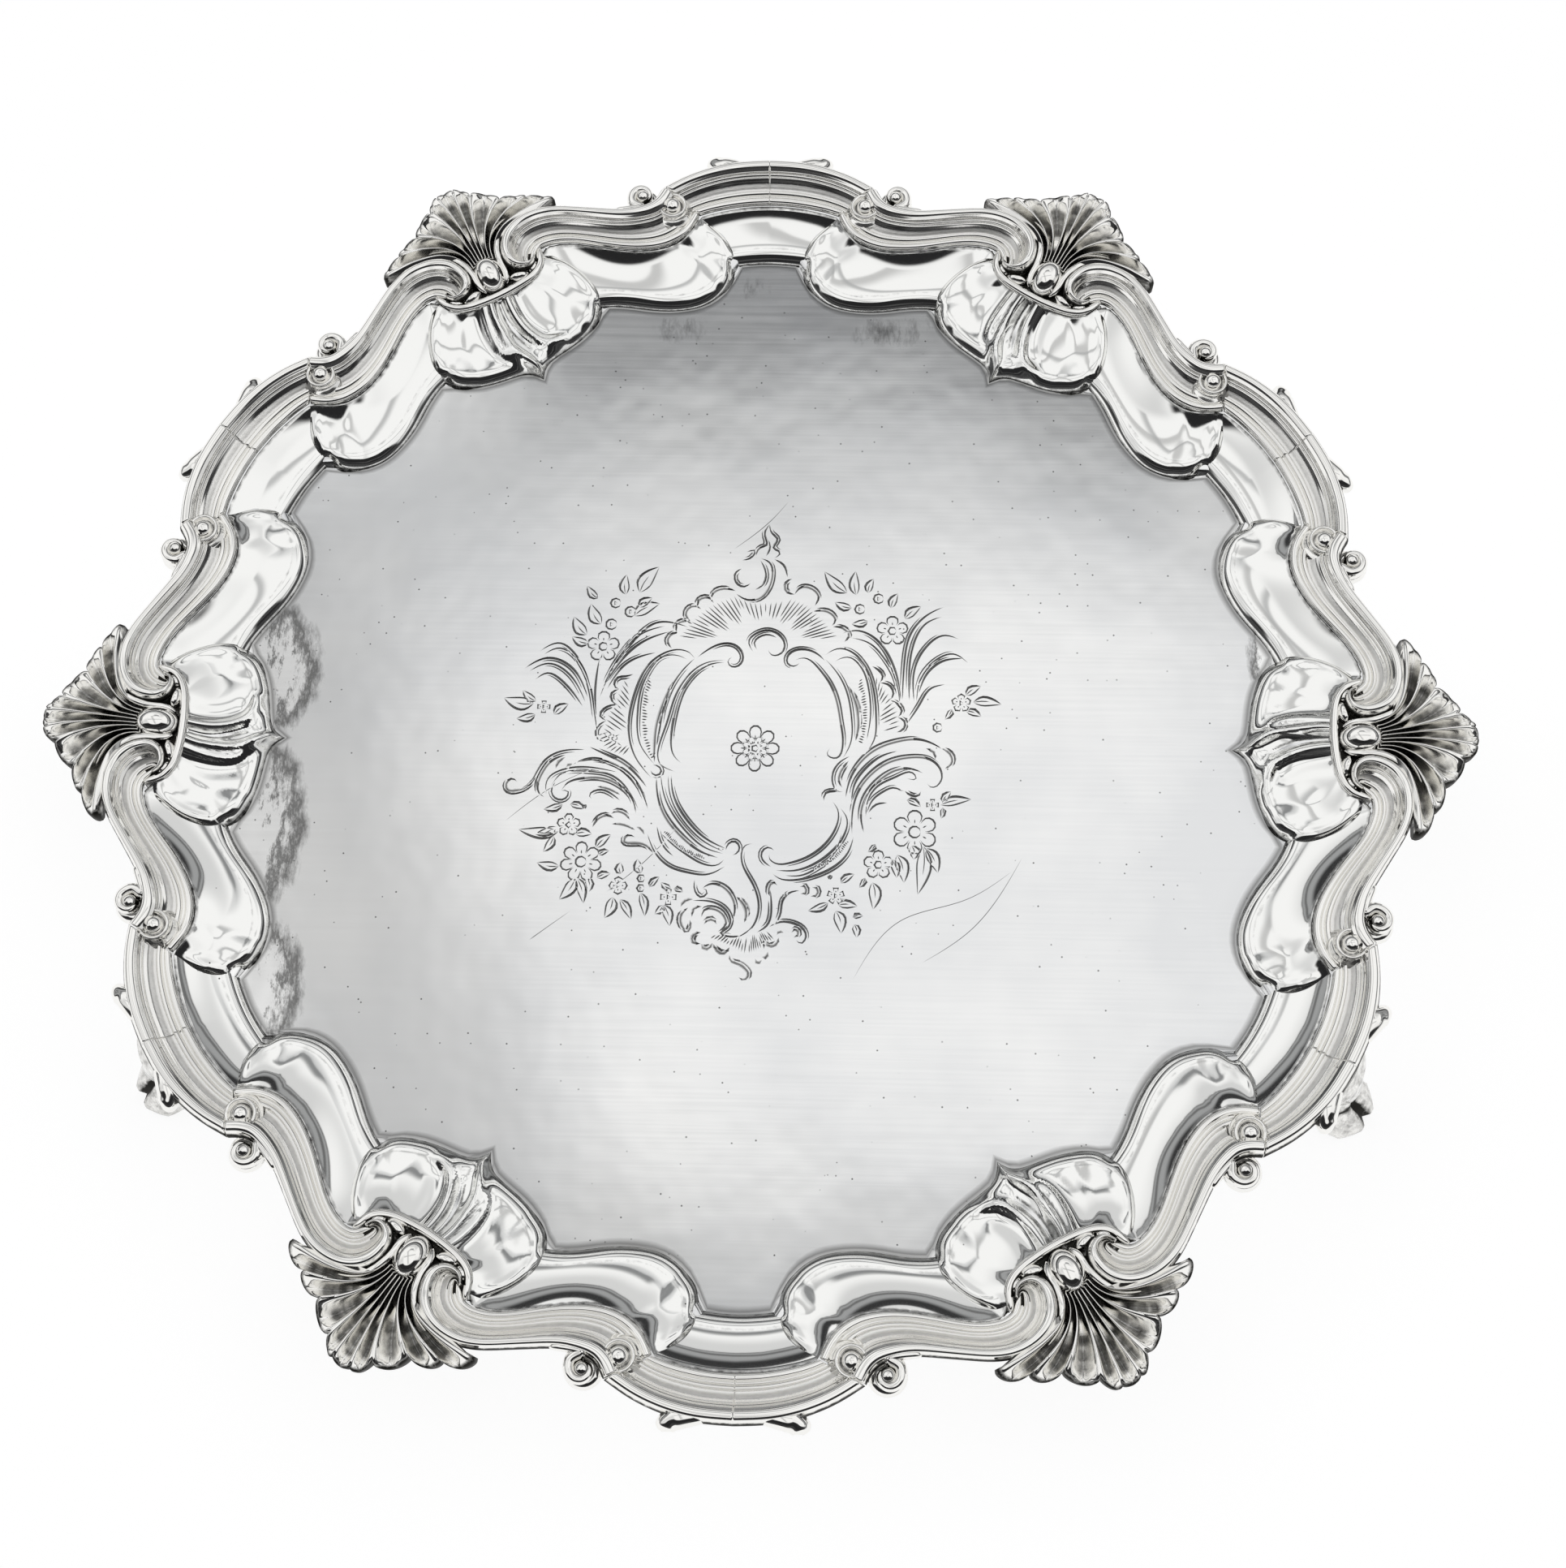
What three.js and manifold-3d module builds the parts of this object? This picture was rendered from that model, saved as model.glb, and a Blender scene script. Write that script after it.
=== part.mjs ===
// A footed silver salver: one raised sheet plate, a border cast in 30 pieces, and three hoof feet.
// Millimetres, +Z up. The origin is the centre of the flat field's top face.

import * as THREE from 'three';
import { mergeVertices } from 'three/addons/utils/BufferGeometryUtils.js';
import Module from 'manifold-3d';

const wasm = await Module();
wasm.setup();

// Driving dimensions.
const cuspRadius = 102.7;     // from the centre to the six points where the border reaches the field
const sheet = 1.3;            // gauge of the plate
const riserHeight = 1.9;      // the small steep step round the field
const riserWidth = 2.0;
const rimHeight = 6.6;        // top of the flat rim that carries the border, above the field
const footHeight = 20.5;      // from the surface it stands on to the field's top face
const castHeight = 5.4;       // height of the cast moulding over its seat
const shellHeight = 4.4;      // height of the shell casting over its seat
const curlRadius = 3.1;       // small volutes on the border's edge
const eyeRadius = 3.3;        // the eye of each volute that ends a C-scroll
const budRadius = 2.7;        // small buds on the back of each C-scroll
const knobRadius = 2.6;       // bead at the root of each shell
const gap = 0.3;              // running gap between pieces that touch
const shellGap = 0.5;         // between a shell and the S-scrolls beside it
const footTop = { radial: 10, across: 20 };
const footAnkle = { radial: 7, across: 8 };
const footHoof = { radial: 13, across: 15 };

const sectors = 6;
const seat = rimHeight + gap; // underside of every border casting

const silver = new THREE.MeshStandardMaterial({ color: 0xd9dadb, roughness: 0.18, metalness: 1 });
const satinSilver = new THREE.MeshStandardMaterial({ color: 0xc9cbcc, roughness: 0.35, metalness: 1 });

// The border repeats every 60 degrees, and each sector is mirrored about its shell.
// These curves are half a sector, with the shell's axis along +Y, in cusp radii.
// Each list runs from the shell towards the middle of the next C-scroll.
const lobeField = [[0, 1.0], [0.03, 1.024], [0.1, 1.045], [0.165, 1.068], [0.203, 1.1]];
const lobeRim = [[0, 1.197], [0.05, 1.2], [0.095, 1.21], [0.121, 1.235], [0.13, 1.264]];
const panelField = [[0.203, 1.1], [0.28, 1.05], [0.36, 1.003], [0.44, 0.993], [0.5, 1.022], [0.52, 1.045]];
const archField = [[0.52, 1.045], [0.553, 1.03], [0.585, 1.0133]];

// Paired points across the S-scroll moulding, inner edge then outer edge.
const scrollHead = [
  [[0.103, 1.252], [0.112, 1.232]],
  [[0.11, 1.248], [0.058, 1.225]],
  [[0.116, 1.252], [0.042, 1.265]],
  [[0.122, 1.258], [0.058, 1.308]],
];
const scrollBody = [
  [[0.13, 1.264], [0.095, 1.338]],
  [[0.145, 1.266], [0.143, 1.347]],
  [[0.17, 1.261], [0.19, 1.336]],
  [[0.21, 1.241], [0.25, 1.3]],
  [[0.285, 1.183], [0.338, 1.246]],
  [[0.34, 1.148], [0.375, 1.234]],
  [[0.385, 1.132], [0.4, 1.234]],
  [[0.44, 1.135], [0.418, 1.239]],
  [[0.4906, 1.1653], [0.437, 1.25]],
];
// The same for half a C-scroll, with the C-scroll's own middle along +Y.
const archBody = [
  [[-0.1578, 1.2545], [-0.2466, 1.301]],
  [[-0.13, 1.263], [-0.17, 1.345]],
  [[-0.075, 1.276], [-0.085, 1.3715]],
  [[0, 1.283], [0, 1.379]],
];
// Cross-section of the moulding: share of the width from the inner edge, and share of castHeight.
const mouldingSection = [
  [0, 0], [0, 0.28], [0.1, 0.34], [0.21, 0.17], [0.3, 0.27], [0.6, 0.56], [0.7, 0.85], [0.82, 1],
  [1, 0.55], [0.97, 0],
];
const flangeShare = 0.85;     // how far under the moulding the plate's rim reaches
const flangeAtShell = 1.33;   // how far the rim reaches under a shell, in cusp radii

const curlSpot = [0.393, 1.248];
const eyeSpot = [-0.215, 1.262];
const budSpot = [-0.112, 1.378];
const knobSpot = [0, 1.258];

// Half of the shell's edge: the lobes' tips, and the notches after them.
const shellLobes = [
  { tip: [0.012, 1.494], notch: [0.02, 1.476] },
  { tip: [0.044, 1.49], notch: [0.05, 1.447] },
  { tip: [0.098, 1.46], notch: [0.105, 1.402] },
  { tip: [0.158, 1.42], notch: [0.16, 1.376] },
  { tip: [0.215, 1.392], notch: [0.21, 1.35] },
];
const hubSide = [[0, 1.207], [0.026, 1.212], [0.03, 1.24]];

function smooth(points, count) {
  const curve = new THREE.CatmullRomCurve3(points.map(([x, y]) => new THREE.Vector3(x, y, 0)), false, 'centripetal');
  return Array.from({ length: count + 1 }, (_, i) => {
    const p = curve.getPoint(i / count);
    return [p.x, p.y];
  });
}

function mix(a, b, share) {
  return [a[0] + (b[0] - a[0]) * share, a[1] + (b[1] - a[1]) * share];
}

// Moves a toward b by a length in millimetres.
function toward(a, b, length) {
  const distance = Math.hypot(b[0] - a[0], b[1] - a[1]) * cuspRadius;
  return mix(a, b, length / distance);
}

function turned([x, y], degrees) {
  const angle = THREE.MathUtils.degToRad(degrees);
  return [x * Math.cos(angle) - y * Math.sin(angle), x * Math.sin(angle) + y * Math.cos(angle)];
}

// From a half-sector point to millimetres in the salver's frame. side is 1 or -1 for the mirrored half.
function place([x, y], z, degrees, side = 1) {
  const [px, py] = turned([x * side * cuspRadius, y * cuspRadius], degrees - 90);
  return new THREE.Vector3(px, py, z);
}

function closedGeometry(vertices, faces) {
  const geometry = new THREE.BufferGeometry();
  geometry.setAttribute('position', new THREE.Float32BufferAttribute(vertices.flatMap((v) => [v.x, v.y, v.z]), 3));
  const volume = faces.reduce((sum, [a, b, c]) => {
    const normal = new THREE.Vector3().crossVectors(vertices[b], vertices[c]);
    return sum + vertices[a].dot(normal);
  }, 0);
  geometry.setIndex(faces.flatMap(([a, b, c]) => (volume > 0 ? [a, b, c] : [a, c, b])));
  return geometry;
}

// Joins equal closed loops into one solid. The end loops are filled as the flat outline is.
function loft(loops, outline) {
  const size = outline.length;
  const faces = [];
  for (let i = 0; i < loops.length - 1; i += 1) {
    for (let j = 0; j < size; j += 1) {
      const next = (j + 1) % size;
      const [a, b, c, d] = [i * size + j, i * size + next, (i + 1) * size + next, (i + 1) * size + j];
      faces.push([a, b, c], [a, c, d]);
    }
  }
  const cap = THREE.ShapeUtils.triangulateShape(outline.map(([x, y]) => new THREE.Vector2(x, y)), []);
  const last = (loops.length - 1) * size;
  const flip = THREE.ShapeUtils.isClockWise(outline.map(([x, y]) => new THREE.Vector2(x, y)));
  for (const [a, b, c] of cap) {
    faces.push(flip ? [a, b, c] : [a, c, b], flip ? [last + a, last + c, last + b] : [last + a, last + b, last + c]);
  }
  return closedGeometry(loops.flat(), faces);
}

function solid(geometry) {
  const bare = geometry.clone();
  bare.deleteAttribute('normal');
  bare.deleteAttribute('uv');
  const merged = mergeVertices(bare, 1e-4);
  return new wasm.Manifold(new wasm.Mesh({
    numProp: 3,
    vertProperties: Float32Array.from(merged.attributes.position.array),
    triVerts: Uint32Array.from(merged.index.array),
  }));
}

function fromSolid(manifold) {
  const mesh = manifold.getMesh();
  const geometry = new THREE.BufferGeometry();
  geometry.setAttribute('position', new THREE.BufferAttribute(Float32Array.from(mesh.vertProperties), 3));
  geometry.setIndex(new THREE.BufferAttribute(Uint32Array.from(mesh.triVerts), 1));
  return geometry;
}

// A small domed button standing on the seat, for volutes, buds and beads.
function button(centre, radius, height, sides = 8) {
  const profile = [
    [0, 0], [radius, 0], [radius, height * 0.6], [radius * 0.6, height], [0, height],
  ].map(([r, z]) => new THREE.Vector2(r, z));
  const geometry = new THREE.LatheGeometry(profile, sides);
  geometry.rotateX(Math.PI / 2);
  geometry.translate(centre.x, centre.y, seat);
  return geometry;
}

// One moulding casting, lofted through its paired edge points.
function moulding(pairs, degrees, side) {
  const loops = pairs.map(([inner, outer]) => mouldingSection.map(([across, up]) => (
    place(mix(inner, outer, across), seat + up * castHeight, degrees, side))));
  return loft(loops, mouldingSection);
}

// Pulls both ends of a run of paired points back, so that neighbours keep their gap.
function pullEnds(pairs, atStart, atEnd) {
  const pulled = pairs.map(([inner, outer]) => [[...inner], [...outer]]);
  const last = pairs.length - 1;
  for (const edge of [0, 1]) {
    pulled[0][edge] = toward(pairs[0][edge], pairs[1][edge], atStart);
    pulled[last][edge] = toward(pairs[last][edge], pairs[last - 1][edge], atEnd);
  }
  return pulled;
}

function cScrollHalf(shellAngle, side) {
  const archAngle = shellAngle - side * 30;
  const pairs = pullEnds(archBody, gap / 2, gap / 2);
  return solid(moulding(pairs, archAngle, side))
    .add(solid(button(place(eyeSpot, 0, archAngle, side), eyeRadius, castHeight * 0.8)))
    .add(solid(button(place(budSpot, 0, archAngle, side), budRadius, castHeight * 0.7)));
}

function sScroll(shellAngle, side) {
  const pairs = pullEnds([...scrollHead, ...scrollBody], 0, gap / 2);
  const eye = place(eyeSpot, 0, shellAngle - side * 30, side);
  const clearance = button(eye, eyeRadius + gap, castHeight + 2, 10);
  clearance.translate(0, 0, -1);
  return solid(moulding(pairs, shellAngle, side))
    .add(solid(button(place(curlSpot, 0, shellAngle, side), curlRadius, castHeight * 0.75)))
    .subtract(solid(clearance));
}

// The shell stands clear of both S-scroll heads, so its lower edge is their outer edge moved out.
function shell(degrees) {
  const outerEdge = [...scrollHead.slice(-2), ...scrollBody.slice(0, 3)].map(([inner, outer]) => (
    toward(outer, inner, -shellGap)));
  const half = [...hubSide, ...outerEdge.filter(([, y]) => y > hubSide[2][1])];
  const outline = new THREE.Shape();
  outline.moveTo(...half[0]);
  half.slice(1).forEach((p) => outline.lineTo(...p));
  const lobes = [...shellLobes].reverse();
  outline.lineTo(...lobes[0].notch);
  lobes.forEach(({ tip }, i) => {
    const end = i + 1 < lobes.length ? lobes[i + 1].notch : [0, shellLobes[0].tip[1] - 0.009];
    outline.quadraticCurveTo(...tip, ...end);
  });
  const right = outline.getPoints(2);
  const left = right.slice(1, -1).reverse().map((p) => new THREE.Vector2(-p.x, p.y));
  const full = [...right, ...left].map((p) => [p.x, p.y]);
  const levels = [[1, 0], [1, 0.5], [0.85, 1]];
  const middle = [0, 1.36];
  const loops = levels.map(([share, up]) => full.map((p) => (
    place(up > 0.5 ? mix(middle, p, share) : p, seat + up * shellHeight, degrees))));
  const knob = button(place(knobSpot, 0, degrees), knobRadius, castHeight);
  return solid(loft(loops, full)).add(solid(knob));
}

// The plate is one sheet: field, riser, hollow shoulder and flat rim, with the same shape below.
function plate() {
  const halfRows = [];
  const lobe = smooth(lobeRim, 4);
  smooth(lobeField, 4).forEach((field, i) => {
    halfRows.push([field, lobe[i], mix([0, flangeAtShell], mix(...scrollBody[0], flangeShare), i / 4)]);
  });
  smooth(panelField, scrollBody.length - 1).slice(1).forEach((field, i) => {
    const [inner, outer] = scrollBody[i + 1];
    halfRows.push([field, inner, mix(inner, outer, flangeShare)]);
  });
  const arch = archBody.map((pair) => pair.map((p) => turned(p, -30)));
  smooth(archField, arch.length - 1).slice(1).forEach((field, i) => {
    const [inner, outer] = arch[i + 1];
    halfRows.push([field, inner, mix(inner, outer, flangeShare)]);
  });

  const rows = [];
  for (let sector = 0; sector < sectors; sector += 1) {
    const degrees = (sector * 360) / sectors;
    const right = halfRows.map((row) => ({ row, degrees, side: 1 })).reverse();
    const left = halfRows.slice(1, -1).map((row) => ({ row, degrees, side: -1 }));
    rows.push(...right, ...left);
  }

  const shoulder = rimHeight - riserHeight;
  const levels = rows.map(({ row: [field, rim, flange], degrees, side }) => {
    const riserTop = toward(field, rim, riserWidth);
    return [
      place(field, 0, degrees, side),
      place(riserTop, riserHeight, degrees, side),
      place(mix(riserTop, rim, 0.55), riserHeight + shoulder * 0.3, degrees, side),
      place(rim, rimHeight, degrees, side),
      place(flange, rimHeight, degrees, side),
    ];
  });
  const steps = levels[0].length;
  const top = levels.flat();
  const below = top.map((p) => new THREE.Vector3(p.x, p.y, p.z - sheet));
  const vertices = [...top, ...below, new THREE.Vector3(0, 0, 0), new THREE.Vector3(0, 0, -sheet)];
  const underside = top.length;
  const centre = vertices.length - 2;
  const faces = [];
  levels.forEach((_, i) => {
    const here = i * steps;
    const next = ((i + 1) % levels.length) * steps;
    faces.push([centre, here, next], [centre + 1, underside + next, underside + here]);
    for (let j = 0; j < steps - 1; j += 1) {
      const [a, b, c, d] = [here + j, here + j + 1, next + j + 1, next + j];
      faces.push([a, b, c], [a, c, d]);
      faces.push([underside + a, underside + c, underside + b], [underside + a, underside + d, underside + c]);
    }
    const edge = steps - 1;
    faces.push([here + edge, underside + here + edge, underside + next + edge]);
    faces.push([here + edge, underside + next + edge, next + edge]);
  });
  return closedGeometry(vertices, faces);
}

// A cabriole foot: a spread seat under the rim, a narrow ankle, and a hoof that kicks outward.
function foot(degrees) {
  const top = rimHeight - sheet - gap;
  const drop = top + footHeight;
  const levels = [
    { at: 0, reach: 1.335, ...footTop },
    { at: 0.14, reach: 1.355, radial: footTop.radial * 1.05, across: footTop.across * 0.8 },
    { at: 0.38, reach: 1.375, radial: footTop.radial * 0.95, across: footTop.across * 0.5 },
    { at: 0.6, reach: 1.375, ...footAnkle },
    { at: 0.8, reach: 1.4, radial: footHoof.radial * 0.75, across: footHoof.across * 0.8 },
    { at: 0.94, reach: 1.42, ...footHoof },
    { at: 1, reach: 1.42, radial: footHoof.radial * 0.92, across: footHoof.across * 0.92 },
  ];
  const sides = 12;
  const circle = Array.from({ length: sides }, (_, i) => turned([1, 0], (i * 360) / sides));
  const loops = levels.map(({ at, reach, radial, across }) => circle.map(([x, y]) => {
    const [px, py] = turned([(x * across) / 2, reach * cuspRadius + (y * radial) / 2], degrees - 90);
    return new THREE.Vector3(px, py, top - at * drop);
  }));
  return loft(loops, circle);
}

const salver = new THREE.Group();

function addPiece(name, geometry, material) {
  const mesh = new THREE.Mesh(geometry, material);
  mesh.name = name;
  salver.add(mesh);
}

addPiece('plate', plate(), satinSilver);
for (let i = 0; i < sectors; i += 1) {
  const degrees = (i * 360) / sectors;
  addPiece(`shell_${i + 1}`, fromSolid(shell(degrees)), silver);
  for (const [hand, side] of [['right', 1], ['left', -1]]) {
    addPiece(`s_scroll_${i + 1}_${hand}`, fromSolid(sScroll(degrees, side)), silver);
    addPiece(`c_scroll_${i + 1}_${hand}`, fromSolid(cScrollHalf(degrees, side)), silver);
  }
}
[90, 210, 330].forEach((degrees, i) => addPiece(`foot_${i + 1}`, foot(degrees), silver));

export default salver;
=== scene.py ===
import math

import bmesh
import bpy
import numpy as np
from mathutils import Matrix, Vector, kdtree
from mathutils.geometry import delaunay_2d_cdt


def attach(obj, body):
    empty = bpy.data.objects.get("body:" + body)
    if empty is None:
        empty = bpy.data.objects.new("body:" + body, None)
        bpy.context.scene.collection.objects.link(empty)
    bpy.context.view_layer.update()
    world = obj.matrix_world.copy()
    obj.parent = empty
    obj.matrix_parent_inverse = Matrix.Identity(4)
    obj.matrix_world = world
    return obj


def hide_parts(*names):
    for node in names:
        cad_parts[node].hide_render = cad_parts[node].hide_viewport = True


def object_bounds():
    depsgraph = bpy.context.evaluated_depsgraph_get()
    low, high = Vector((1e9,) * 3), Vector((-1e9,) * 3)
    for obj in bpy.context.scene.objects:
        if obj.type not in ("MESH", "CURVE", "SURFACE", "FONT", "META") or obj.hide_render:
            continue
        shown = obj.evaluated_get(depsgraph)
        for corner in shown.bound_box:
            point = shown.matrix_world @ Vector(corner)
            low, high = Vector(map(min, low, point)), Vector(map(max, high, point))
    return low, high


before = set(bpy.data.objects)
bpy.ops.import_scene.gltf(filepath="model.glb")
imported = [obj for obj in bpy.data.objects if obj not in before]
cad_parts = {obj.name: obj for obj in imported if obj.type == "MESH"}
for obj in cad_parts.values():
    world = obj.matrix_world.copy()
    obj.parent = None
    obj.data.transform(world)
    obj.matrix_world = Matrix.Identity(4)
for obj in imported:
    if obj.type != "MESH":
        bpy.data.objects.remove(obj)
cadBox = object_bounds()

# Plan positions are in cusp radii, the distance from the centre to the six points of the border.
# Heights are millimetres over the flat field.
mm = 0.001
shellReach = 1.4873
cusp = (cadBox[1][0] - cadBox[0][0]) / 2 / shellReach
cuspMm = cusp / mm
tableHeight = cadBox[0][2]
sectors = 6
castBase = 6.2   # underside of the castings, in millimetres


def curveThrough(*lines):
    # smooth curves through paired lists of points, all read with one number from 0 to 1
    lists = [np.array(line, float) for line in lines]
    steps = sum(np.linalg.norm(np.diff(line, axis=0), axis=1) for line in lists)
    knots = np.concatenate([[0], np.cumsum(steps)]) / steps.sum()
    gaps = np.diff(knots)
    count = len(knots)
    system = np.eye(count)
    for i in range(1, count - 1):
        system[i, i - 1:i + 2] = [gaps[i - 1], 2 * (gaps[i - 1] + gaps[i]), gaps[i]]

    def reader(values):
        slopes = np.diff(values, axis=0) / gaps[:, None]
        right = np.zeros_like(values)
        right[1:-1] = 6 * np.diff(slopes, axis=0)
        bends = np.linalg.solve(system, right)

        def read(where):
            where = np.clip(np.asarray(where, float), 0, 1)
            i = np.clip(np.searchsorted(knots, where, side="right") - 1, 0, count - 2)
            gap = gaps[i][:, None]
            before = (knots[i + 1] - where)[:, None] / gap
            after = 1 - before
            cubic = (before ** 3 - before) * bends[i] + (after ** 3 - after) * bends[i + 1]
            return before * values[i] + after * values[i + 1] + cubic * gap ** 2 / 6
        return read

    readers = [reader(line) for line in lists]
    return readers if len(readers) > 1 else readers[0]


def smoothStep(value, start, end):
    share = np.clip((value - start) / (end - start), 0, 1)
    return share * share * (3 - 2 * share)


def distanceTo(points, line):
    # shortest distance from each point to a line of points, in cusp radii
    best = np.full(len(points), 1e9)
    for a, b in zip(line[:-1], line[1:]):
        along = b - a
        share = np.clip(((points - a) @ along) / max(along @ along, 1e-12), 0, 1)
        best = np.minimum(best, np.linalg.norm(points - a - share[:, None] * along, axis=1))
    return best


def turnedPoints(points, degrees):
    angle = math.radians(degrees)
    turn = np.array([[math.cos(angle), math.sin(angle)], [-math.sin(angle), math.cos(angle)]])
    return np.array(points, float) @ turn


def spread(count=200):
    return np.linspace(0, 1, count)


# A grid whose points are sent to a surface; surface(along, across) gives places, and recess and matt values:
# painted shade with tarnish, and the matt finish.
def addSheet(bm, columns, rows, surface, tube=False):
    made = bmesh.ops.create_grid(bm, x_segments=columns, y_segments=rows, size=0.5)["verts"]
    along = np.array([v.co.x for v in made]) + 0.5
    across = np.array([v.co.y for v in made]) + 0.5
    places, shadeTarnishAndMatt = surface(along, across)
    # recess carries painted shade and tarnish into creases, grooves, joints and undersides; matt carries the
    # matt finish
    for name in ("recess", "matt"):
        layer = bm.verts.layers.float.get(name) or bm.verts.layers.float.new(name)
        values = np.broadcast_to(shadeTarnishAndMatt.get(name, 0.0), along.shape)
        for vert, value in zip(made, values):
            vert[layer] = float(value)
    for vert, place in zip(made, places):
        vert.co = place
    bmesh.ops.remove_doubles(bm, verts=made, dist=0.002 * mm)
    if tube:
        kept = [v for v in made if v.is_valid]
        openEdges = {e for v in kept for e in v.link_edges if e.is_boundary}
        bmesh.ops.holes_fill(bm, edges=list(openEdges), sides=0)


def inMetres(plan, heights):
    return np.column_stack([plan[:, 0] * cusp, plan[:, 1] * cusp, heights * mm])


def startMesh():
    bm = bmesh.new()
    bm.verts.layers.float.new("recess")
    bm.verts.layers.float.new("matt")
    return bm


def finishMesh(bm, name):
    bmesh.ops.recalc_face_normals(bm, faces=bm.faces)
    mesh = bpy.data.meshes.new(name)
    bm.to_mesh(mesh)
    bm.free()
    mesh.polygons.foreach_set("use_smooth", [True] * len(mesh.polygons))
    return mesh


# Shell-up shapes are mirrored for side -1 and turned so that +Y points along the given angle.
def placePiece(mesh, name, node, degrees, side, material):
    placed = mesh.copy()
    turn = Matrix.Rotation(math.radians(degrees - 90), 4, "Z")
    placed.transform(turn @ Matrix.Diagonal((side, 1, 1, 1)))
    if side < 0:
        placed.flip_normals()
    placed.name = name
    piece = bpy.data.objects.new(name, placed)
    bpy.context.scene.collection.objects.link(piece)
    placed.materials.clear()
    placed.materials.append(material)
    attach(piece, "root")
    if node:
        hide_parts(node)
    return piece


def colour(hexValue):
    # an sRGB hex colour as linear RGBA
    channels = [int(hexValue[i:i + 2], 16) / 255 for i in (1, 3, 5)]
    linear = [c / 12.92 if c <= 0.04045 else ((c + 0.055) / 1.055) ** 2.4 for c in channels]
    return (*linear, 1)


def addNode(tree, kind, settings, inputs):
    node = tree.nodes.new(kind)
    for name, value in settings.items():
        setattr(node, name, value)
    for name, value in inputs.items():
        if isinstance(value, bpy.types.NodeSocket):
            tree.links.new(value, node.inputs[name])
        else:
            node.inputs[name].default_value = value
    return node


# The two edges of each S-scroll moulding, in pairs from its volute to its joint with the C-scroll.
scrollPairs = [
    [(0.100, 1.256), (0.112, 1.243)], [(0.101, 1.253), (0.100, 1.226)], [(0.104, 1.250), (0.070, 1.222)],
    [(0.109, 1.249), (0.046, 1.241)], [(0.115, 1.252), (0.042, 1.275)], [(0.121, 1.258), (0.058, 1.311)],
    [(0.129, 1.264), (0.092, 1.336)], [(0.145, 1.267), (0.138, 1.345)], [(0.175, 1.260), (0.190, 1.335)],
    [(0.215, 1.238), (0.245, 1.304)], [(0.260, 1.202), (0.297, 1.270)], [(0.305, 1.168), (0.340, 1.245)],
    [(0.350, 1.143), (0.372, 1.235)], [(0.395, 1.131), (0.396, 1.232)], [(0.445, 1.137), (0.417, 1.238)],
    [(0.4906, 1.1653), (0.437, 1.250)],
]
# Half a C-scroll, with the middle of the C-scroll along +Y.
archPairs = [
    [(-0.1578, 1.2545), (-0.2466, 1.301)], [(-0.149, 1.2575), (-0.208, 1.326)],
    [(-0.13, 1.264), (-0.162, 1.349)], [(-0.1, 1.2715), (-0.112, 1.366)],
    [(-0.05, 1.280), (-0.055, 1.376)], [(0, 1.283), (0, 1.379)],
]
scrollInner, scrollOuter = curveThrough([p[0] for p in scrollPairs], [p[1] for p in scrollPairs])
archInner, archOuter = curveThrough([p[0] for p in archPairs], [p[1] for p in archPairs])

# Outlines of the raised panels where they meet the field, and the end that lies over the next panel.
lobeFoot = [(0, 1.0), (0.008, 1.014), (0.022, 1.028), (0.05, 1.037), (0.10, 1.045), (0.155, 1.063),
            (0.192, 1.091)]
lobeEnd = [(0.207, 1.13), (0.204, 1.168), (0.189, 1.206), (0.165, 1.238), (0.132, 1.264)]
lobeTop = [(0, 1.197), (0.05, 1.2), (0.09, 1.209), (0.115, 1.228), (0.124, 1.247), (0.131, 1.264)]
panelFoot = [(0.16, 1.115), (0.203, 1.1), (0.25, 1.073), (0.30, 1.035), (0.35, 1.006), (0.405, 0.991),
             (0.455, 0.998), (0.497, 1.022), (0.52, 1.058)]
panelEnd = [(0.525, 1.097), (0.513, 1.135), (0.4906, 1.1653)]
archFoot = [(-0.115, 1.155), (-0.0815, 1.162), (0, 1.17), (0.0815, 1.162), (0.115, 1.155)]

# Heights in millimetres over the field: the small riser by distance from a panel's foot, and the
# lip by distance from the end that lies over the next panel.
shoulder = {
    "rimHeight": 6.6,
    "riserDistance": [0, 0.5, 1.0, 1.5, 1.9, 2.3, 2.7, 3.6],
    "riserHeight": [-0.08, 0.45, 1.05, 1.55, 1.82, 1.9, 1.8, 1.78],
    "lipDistance": [0, 0.4, 0.9, 1.3, 1.8, 2.3, 2.9, 4.5, 8],
    "lipHeight": [0, 0.6, 1.25, 1.5, 1.6, 1.45, 1.15, 0.7, 0],
    "thickness": 0.7,
}


def panelHeight(points, foot, end, rim, corner, peak):
    toFoot = distanceTo(points, foot) * cuspMm
    toRim = distanceTo(points, rim) * cuspMm
    share = toFoot / (toFoot + toRim + 1e-6)
    rise = shoulder["rimHeight"] - shoulder["riserHeight"][-1]
    height = np.interp(toFoot, shoulder["riserDistance"], shoulder["riserHeight"]) + rise * share ** 2.1
    # Painted shade and tarnish: dark at the panel's foot, in a faint band just past the riser's crest, along
    # the end that lies over the next panel and along the rim under the moulding.
    shadeAndGrime = 0.9 * np.exp(-(toFoot / 0.35) ** 2) + 0.35 * np.exp(-((toFoot - 3.1) / 0.5) ** 2)
    if end is not None:
        toEnd = distanceTo(points, end) * cuspMm
        fade = smoothStep(np.linalg.norm(points - corner, axis=1), 0.0, 0.06)
        fade *= smoothStep(np.linalg.norm(points - peak, axis=1), 0.0, 0.07)
        height += fade * np.interp(toEnd, shoulder["lipDistance"], shoulder["lipHeight"])
        shadeAndGrime = np.maximum(shadeAndGrime, 0.9 * np.exp(-(toEnd / 0.5) ** 2))
    shadeAndGrime = np.maximum(shadeAndGrime, 0.8 * np.exp(-(toRim / 0.7) ** 2))
    return height, shadeAndGrime


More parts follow.
